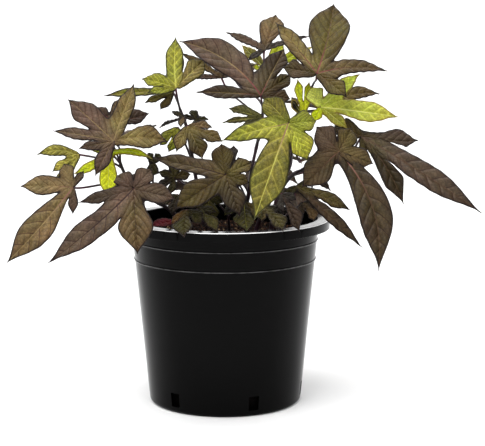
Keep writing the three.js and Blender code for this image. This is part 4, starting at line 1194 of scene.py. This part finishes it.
LEAVES = {
    "crown_right": leaf(
        "bronze", "right", 0.95, (70, -30, 260),
        "olive_bronze bronze olive_umber olive_tan umber", "rose brown_rib",
        (22, -15, -17, 8), (53, -6, 2, 6, 8), (15, 45, 52, 16, -4), (-31, 32, 38, 7), (-26, 4, 4, 10),
        by=(72, 0, 260), notches=(17, 14.5, 17.5, 0)),
    "crown_left": leaf(
        "bronze", "middle", 0.8, (28, -8, 242), "umber moss dusk plum dusk", "rose straw",
        (23, 0, -3, 9), (24, 12, 15, 10), (19, 28, 35, 10), (-64, 21, 41, 14, -16), (-50, -6, 3, 6),
        notches=(14, 19, 19, 16)),
    "crown_back": leaf(
        "bronze", "middle", 0.98, (31, 38, 275), "grey tan mauve grey", "brown_rib",
        (38, 15, 11, 3), (10, 28, 28, 10, -1), (-31, 14, 14, 4), (-13, -8, -8, 3)),
    "lime_back": leaf(
        "lime", "middle", 0.92, (33, 58, 258), "lime lime dull_olive lime", "lime_rib",
        (40, 15, 19, 5), (15, 19, 24, 5), (-20, 16, 20, 5), (-11, 2, 3, 4)),
    "lime_right": leaf(
        "lime", "right", 0.78, (74, -24, 234),
        "bright_lime pale_olive bright_olive yellow_lime white_lime", "lime_rib",
        (-6, -5, -11, 5), (19, -16, -15, 5), (57, -18, -6, 9), (30, 12, 25, 6), (-8, 8, 15, 8),
        notches=(0, 0, 18.5, 0)),
    "lime_shoot": leaf(
        "lime", "right", 0.72, (60, -16, 227), "fresh_lime fresh_lime ink", "lime_rib",
        (5, 2, 26, 5), (-4, 2, 28, 5), (-9, 0, 13, 4)),
    "right_back": leaf(
        "bronze", "right", 0.75, (83, 22, 234), "shade olive_tan shade", "brown_rib",
        (28, -6, -7, 5), (40, 1, 7, 6, 7), (7, 16, 20, 5)),
    "olive_front": leaf(
        "olive", "right", 0.48, (47, -78, 226),
        "dull_olive pale_olive dull_olive yellow_olive pale_olive", "pale_rose pale_green",
        (-18, 13, 18, 9.5), (-49, -5, -12, 6.5), (-25, -27, -67, 13), (14, -10, -26, 10.5),
        (21, 7, 1, 9),
        notches=(17.5, 19.5, 15, 13.5)),
    "right_front": leaf(
        "bronze", "low_right", 0.62, (84, -72, 205), "bronze olive_bronze plum umber dusk",
        "pale_rose brown_rib",
        (26, 0, -9, 8), (10, 7, 17, 9), (-16, 7, 18, 10), (-27, -10, -25, 11), (28, -28, -84, 12.5, 21),
        notches=(12, 7.5, 15.5, 7)),
    "right_long": leaf(
        "bronze", "low_right", 0.97, (104, -38, 213),
        "green shade dark_plum dark_plum moss", "brown_rib",
        (7, 4, -22, 6), (30, -22, -49, 9.5, 6), (88, -24, -55, 9, -3), (43, 1, -3, 9, -8),
        (-20, 18, 9, 8, 3), neck=0.45, notches=(0, 31, 23, 0)),
    "left_upper": leaf(
        "bronze", "left", 0.97, (-84, -32, 209),
        "olive_tan olive_tan mauve mauve plum plum", "straw",
        (42, -8, 0, 10, 8), (14, 30, 42, 7), (-36, 13, 31, 10.5), (-46, -2, 8, 5.5), (-26, -8, -5, 5),
        (-13, -16, -25, 6), by=(-81, -6, 207), notches=(0, 19, 21, 11.5, 15)),
    "left_back": leaf(
        "bronze", "left", 0.86, (-89, -2, 222), "dark_plum bronze plum plum", "rose",
        (30, 10, 5, 7, -6), (10, 17, 17, 5), (-12, 9, 10, 5), (-15, -3, -4, 4)),
    "lime_top": leaf(
        "olive", "left_back", 0.97, (-38, 0, 247),
        "olive_tan pale_olive yellow_olive pale_olive",
        "pale_green",
        (23, 18, 22, 9), (-1, 28, 39, 7, 2), (-27, 6, 7, 8), (-22, -8, -3, 5), neck=0.9),
    "left_top_back": leaf(
        "bronze", "left_back", 0.9, (-41, 16, 243),
        "bronze pale_olive dull_olive olive_bronze", "straw",
        (5, 31, 32, 5), (-55, -2, -3, 4), (-22, -9, -8, 4), (-10, -2, -14, 5)),
    "lime_left": leaf(
        "lime", "left", 0.95, (-89, -20, 199),
        "bright_lime fresh_lime fresh_lime bright_lime", "lime_rib",
        (-15, -2, 4, 3), (-27, -8, -16, 4, 5), (1, -20, -34, 7), (34, 0, -5, 3, 6)),
    "left_small": leaf(
        "olive", "left", 0.9, (-113, -8, 196),
        "sandy_olive straw_olive sandy_olive", "pale_green",
        (-33, 0, 0, 5, -7), (-21, -4, -13, 5), (-19, -17, -28, 5)),
    "left_low": leaf(
        "bronze", "left", 0.7, (-114, -44, 175),
        "mauve pale_tan pale_tan tan mauve", "pale_rose straw",
        (7, 13, 11, 3), (-8, 11, 17, 7), (-40, -1, 1, 8), (-48, -24, -54, 11.5, 4), (0, -5, -20, 4),
        notches=(8, 13, 11, 9.5)),
    "left_front": leaf(
        "bronze", "left", 0.48, (-66, -78, 178),
        "plum dark_plum plum bronze plum mauve", "dark_rib",
        (-13, 9, 9, 9), (-40, -5, -9, 5, 2), (-61, -23, -51, 9, 6), (4, -20, -45, 13), (31, -1, -7, 8.5),
        (13, 10, 14, 8), neck=0.42, notches=(11.5, 25.5, 25.5, 9.5, 13.5)),
    "centre_low": leaf(
        "bronze", "middle", 0.28, (1, -58, 186),
        "moss umber moss dusk olive_umber olive_bronze", "dark_rib",
        (-3, 16, 22, 9), (-55, 9, 12, 6.5), (-38, -14, -24, 10.5), (11, -15, -29, 9), (18, -2, -6, 7),
        (21, 12, 8, 7), notches=(17, 13, 17, 12, 12)),
    "purple_back": leaf(
        "bronze", "middle", 0.74, (-3, 44, 253), "plum plum warm_bronze mauve", "brown_rib",
        (15, 5, 6, 4), (-7, 14, 15, 5), (-34, 6, 20, 4), (-28, -5, 0, 3)),
    "middle_green": leaf(
        "olive", "middle", 0.62, (29, -24, 226), "green green dark_green", "pale_green",
        (-26, 5, 7, 6), (-31, 4, -4, 3), (-17, -6, -8, 4)),
    "middle_edge": leaf(
        "bronze", "left_back", 0.8, (-32, 2, 224), "dark_green ink pale_tan", "brown_rib",
        (-10, 13, 4, 3), (-19, -9, -7, 3), (-2, -16, -6, 3)),
    "middle_spiky": leaf(
        "bronze", "left_back", 0.74, (-23, 22, 221),
        "dark_green dark_green dark_green deep", "brown_rib",
        (1, -8, -6, 4), (10, -2, 0, 3), (-4, 8, 7, 4), (-12, 0, 3, 3)),
    "middle_bronze": leaf(
        "bronze", "left_back", 0.6, (-28, -32, 220),
        "olive_tan moss olive_bronze tan", "straw",
        (-8, -13, -18, 6), (12, -17, -23, 10), (27, -7, -11, 8), (19, 5, -1, 5), notches=(12, 17, 11)),
    "middle_lime": leaf(
        "olive", "left_back", 0.52, (-36, -12, 217),
        "pale_olive yellow_olive olive", "pale_green",
        (-14, -7, -13, 6), (-7, -9, -18, 6), (3, -3, -14, 4)),
    "low_dark": leaf(
        "bronze", "left_back", 0.36, (-39, -22, 180), "moss green dark_green ink dark_green",
        "brown_rib",
        (13, 3, 2, 5), (1, 8, 11, 6), (-12, 2, 4, 4), (-12, -7, -9, 5), (-2, -9, -12, 4)),
    "low_left": leaf(
        "bronze", "left", 0.22, (-36, -34, 168), "dark_green deep dark_green", "brown_rib",
        (-13, -5, -7, 5), (-4, -11, -14, 5), (8, -8, -9, 4)),
    "middle_grey": leaf(
        "bronze", "middle", 0.36, (6, -22, 188), "grey grey grey", "straw",
        (8, 6, 6, 4), (1, 8, 16, 5), (-8, 6, 4, 4)),
    "left_dark": leaf(
        "bronze", "left", 0.5, (-55, -6, 189), "dark_green dark_green dark_green", "brown_rib",
        (4, 7, 7, 4), (-5, 4, 8, 4), (-2, -7, -10, 5)),
    "right_small": leaf(
        "bronze", "back_right", 0.4, (66, 18, 180), "shade shade grey", "brown_rib",
        (3, -8, -13, 4), (18, -6, -15, 4), (14, 6, 2, 4)),
    "low_right": leaf(
        "bronze", "low_right", 0.3, (55, -36, 175),
        "dark_green umber olive_bronze dark_green", "brown_rib",
        (-10, -4, -9, 4), (49, -23, -44, 5), (41, -4, -18, 6), (15, 6, 2, 4)),
    "rear_middle": leaf(
        "bronze", "back_right", 0.7, (24, 80, 180),
        "bronze plum bronze olive_bronze bronze", "rose",
        (30, -2, -6, 6), (38, 32, -22, 8), (4, 52, -44, 12), (-32, 34, -20, 8), (-28, -2, -6, 6)),
    "rear_right": leaf(
        "bronze", "back_right", 0.85, (62, 66, 184), "moss olive_tan tan bronze moss", "straw",
        (16, -8, 0, 7), (30, 12, 6, 8), (26, 46, -6, 10), (2, 44, -8, 8), (-18, 14, 4, 6)),
    "rear_left": leaf(
        "bronze", "back_left", 0.97, (-86, 56, 166), "plum bronze plum dark_plum plum", "rose",
        (14, 22, 4, 6), (10, 50, -20, 9), (-16, 44, -34, 11), (-22, 18, -18, 8), (-12, -14, -4, 6)),
    "rear_low": leaf(
        "bronze", "back_left", 0.65, (-24, 82, 160),
        "shade dark_plum bronze bronze shade", "dark_rib",
        (28, 4, -4, 6), (28, 34, -34, 8), (-4, 38, -56, 12), (-34, 24, -34, 9), (-26, -4, -2, 6)),
    "rear_low_right": leaf(
        "bronze", "back_right", 0.3, (58, 76, 154), "moss bronze moss shade moss", "brown_rib",
        (26, -12, -2, 6), (34, 18, -30, 9), (14, 36, -52, 12), (-18, 34, -30, 8), (-22, 8, 2, 6)),
    "rear_crown": leaf(
        "bronze", "middle", 0.85, (6, 66, 260),
        "olive_bronze warm_bronze olive_bronze bronze bronze", "rose",
        (24, 10, 2, 5), (18, 36, -4, 7), (-8, 42, 2, 9), (-32, 22, 6, 7), (-22, 0, 2, 5)),
    "rear_left_high": leaf(
        "bronze", "left_back", 0.7, (-72, 42, 208),
        "moss olive_bronze plum plum moss", "straw",
        (16, 10, 6, 5), (6, 36, 0, 8), (-22, 34, -8, 9), (-34, 6, -6, 7), (-14, -10, -4, 5)),
    "rear_right_high": leaf(
        "bronze", "back_right", 0.99, (66, 50, 230),
        "shade bronze warm_bronze bronze shade", "rose",
        (16, -10, -4, 5), (36, 12, -8, 8), (22, 36, -6, 9), (-8, 34, 0, 8), (-20, 8, 2, 5)),
}

SHOOTS = {
    "shoot_left": dict(
        skin="bronze", path=[(-30, -36, 122), (-30, -36, 138), (-29, -40, 150)], thick=1.5, thin=1.0,
        leaves=[
            sprout(0.9, (-28, -60, 160), "amber dark_green dark_green", "brown_rib",
                   (-11, -3, -12, 5), (-1, -27, -16, 9.5), (12, -12, -9, 7), notches=(10, 10)),
            sprout(0.98, (-20, -54, 160), "deep green dark_green", "brown_rib",
                   (0, -12, -6, 4), (16, -18, -15, 7), (14, -2, -2, 5.5), notches=(7, 8)),
        ]),
    "shoot_middle": dict(
        skin="olive", path=[(4, -34, 122), (4, -34, 138), (3, -36, 152)], thick=1.5, thin=1.0,
        leaves=[
            sprout(0.98, (-14, -40, 170), "dark_green green dark_green", "pale_green",
                   (-10, -3, -11, 6.5), (6, -8, -21, 8.5), (13, -2, -7, 6.5), notches=(9, 9)),
            sprout(0.94, (15, -50, 164), "ink dark_green moss", "pale_green",
                   (-15, -8, -8, 6.5), (2, -28, -17, 9.5), (13, -18, -9, 7), notches=(11, 13)),
        ]),
    "shoot_right": dict(
        skin="bronze", path=[(44, -32, 122), (44, -32, 138), (43, -36, 150)], thick=1.5, thin=1.0,
        leaves=[
            sprout(0.94, (30, -52, 161), "olive_bronze green ink", "brown_rib",
                   (-2, -16, -9, 5), (14, -26, -14, 9.5), (18, -6, -4, 6.5), notches=(10, 12)),
            sprout(0.98, (43, -52, 171), "grey dark_plum grey", "brown_rib",
                   (1, -10, -13, 5), (13, -20, -25, 8.5), (11, -4, -4, 5), notches=(9, 9)),
            sprout(0.9, (60, -34, 162), "dusk tan grey", "brown_rib",
                   (-2, -12, -8, 5), (8, -15, -12, 8.5), (15, -1, -3, 6), notches=(8, 9)),
        ]),
}

FALLEN_LEAF = leaf(
    "fallen", "", 0, (-40, 32, 137.1), "red", "rose", (-21, -6, -3.4, 6.5), facing=(0.05, -0.45, 1))
SHOOT_SEED = 60
FALLEN_SEED = 5

# Each skin's margin, what multiplies its tones at the margin and in its veins, and its underside, which
# on bronze is also darkened as painted shade for the undersides low in the plant; how rough it is, how
# strong its net, how much paler beside a vein and how mottled.
SKINS = {
    "bronze": dict(name="bronze_leaf_skin", edge="#150b0a", flush="#94787c", vein="#8c7474",
                   under="#6b5a50", gloss=0.48, network=0.36, paler=1.3, mottle=0.8),
    "olive": dict(name="olive_leaf_skin", edge="#2c2a0c", flush="#c3bd86", vein="#ffffff",
                  under="#b3b283", gloss=0.5, network=0.4, paler=1.75, mottle=0.9),
    "lime": dict(name="lime_leaf_skin", edge="#7a6a28", flush="#ffffff", vein="#ffffff",
                 under="#cfd68a", gloss=0.45, network=0.35, paler=1.35, mottle=0.5),
    "fallen": dict(name="wilted_leaf_skin", edge="#2a1010", flush="#c08080", vein="#ffffff",
                   under="#6e4038", gloss=0.6, network=0.2, paler=1.4, mottle=0.8),
}


def build_shoot(name, shoot, number, skin, grow, stem):
    """A short shoot: its blades, stem and stalks in one piece of two materials."""
    leaves = shoot["leaves"]
    blades = [leaf_arrays(one, SHOOT_SEED + 5 * number + k) for k, one in enumerate(leaves)]
    blade = placed(name, blade_mesh(name, blades))
    blade.data.materials.append(skin)
    stalks = placed("stalks", grown_strands(name, shoot, leaves, SHOOT_STALK_RADIUS, grow, stem))
    with bpy.context.temp_override(active_object=blade, selected_editable_objects=[blade, stalks]):
        bpy.ops.object.join()
    mesh = blade.data.copy()
    bpy.data.objects.remove(blade)
    piece(name + "_plant", mesh, [skin, stem], "leaf_" + shoot["skin"], name)


def build_plant():
    skins = {kind: leaf_skin(**given) for kind, given in SKINS.items()}
    stem = stem_skin()
    grow = strand_tree()
    for name, vine in VINES.items():
        own = [one for one in LEAVES.values() if one["vine"] == name]
        mesh = grown_strands(name, vine, own, STALK_RADIUS, grow, stem)
        piece("stem_" + name, mesh, [stem], "vine_stem", "vine_" + name)
    for number, (name, one) in enumerate(LEAVES.items()):
        mesh = blade_mesh(name, [leaf_arrays(one, number)])
        piece("blade_" + name, mesh, [skins[one["skin"]]], "leaf_" + one["skin"], "leaf_" + name)
    for number, (name, shoot) in enumerate(SHOOTS.items()):
        build_shoot(name, shoot, number, skins[shoot["skin"]], grow, stem)
    mesh = blade_mesh("blade_fallen", [leaf_arrays(FALLEN_LEAF, FALLEN_SEED)])
    piece("blade_fallen", mesh, [skins["fallen"]], "leaf_fallen", "leaf_fallen")


# ---------------------------------------------------------------- studio
# Each lamp: its name, place, what it is turned to, width and height in metres, and watts.
LAMPS = (
    ("key", (-0.75, -0.9, 1.8), (0.0, 0.0, 0.16), 1.6, 1.6, 35),
    ("front", (0.3, -1.5, 0.8), (0.0, 0.0, 0.18), 1.8, 0.9, 12.5),
    ("top", (0.0, 0.5, 1.9), (0.0, 0.0, 0.16), 2.2, 0.6, 27),
    ("overhead", (0.0, -0.4, 3.6), (0.0, -0.4, 0.0), 5.0, 5.0, 75),
    ("left_strip", (-1.3, 0.5, 0.5), (0.0, 0.0, 0.16), 0.25, 1.2, 3.5),
    ("right_strip", (1.3, 0.5, 0.5), (0.0, 0.0, 0.16), 0.25, 1.2, 3.5),
    ("backdrop", (0.0, 1.1, 1.7), (0.0, 2.2, 0.9), 2.4, 0.5, 14),
)
DAYLIGHT = 0.14  # the even light from all around
PAPER_HALF_WIDTH = 6.0
PAPER_FRONT = -7.0
PAPER_BACK = 2.2
PAPER_TOP = 2.6
PAPER_SWEEP = 1.0
PAPER_STEPS = 14


def build_paper():
    """Seamless paper that sweeps up behind the pot."""
    profile = [(PAPER_FRONT, 0.0), (PAPER_BACK - PAPER_SWEEP, 0.0)]
    profile += [(PAPER_BACK - PAPER_SWEEP * (1 - sin(a)), PAPER_SWEEP * (1 - cos(a)))
                for a in np.linspace(0.1, pi / 2, PAPER_STEPS)]
    profile += [(PAPER_BACK, PAPER_TOP)]
    points = [(x, y, z) for y, z in profile for x in (-PAPER_HALF_WIDTH, PAPER_HALF_WIDTH)]
    faces = [(2 * i, 2 * i + 1, 2 * i + 3, 2 * i + 2) for i in range(len(profile) - 1)]
    mesh = new_mesh("studio_paper", points, faces)
    mesh.materials.append(studio_paper())
    mesh.polygons.foreach_set("use_smooth", [True] * len(mesh.polygons))
    placed("studio_paper", mesh)


def build_lights():
    """Soft light from every side, with a broad key from the upper left."""
    world = bpy.data.worlds.new("studio")
    world.use_nodes = True
    background = world.node_tree.nodes["Background"].inputs
    background["Color"].default_value = linear("#ffffff")
    background["Strength"].default_value = DAYLIGHT
    bpy.context.scene.world = world
    for name, place, aim, width, height, power in LAMPS:
        lamp = bpy.data.lights.new(name, "AREA")
        lamp.shape = "RECTANGLE"
        lamp.size, lamp.size_y = width, height
        lamp.energy = power
        light = placed(name, lamp)
        light.location = place
        light.rotation_euler = (Vector(aim) - Vector(place)).to_track_quat("-Z", "Y").to_euler()


def build_camera():
    camera = placed("camera", bpy.data.cameras.new("camera"))
    camera.data.lens = LENS
    camera.data.sensor_width = SENSOR
    camera.data.clip_end = SIGHT
    camera.location = (VIEW_SIDE, -VIEW_DISTANCE, VIEW_HEIGHT)
    camera.rotation_euler = (pi / 2 - VIEW_DOWN, 0, 0)
    bpy.context.scene.camera = camera
    bpy.context.scene.view_settings.view_transform = "Standard"


build_paper()
build_lights()
build_camera()
build_pot()
build_soil()
build_plant()
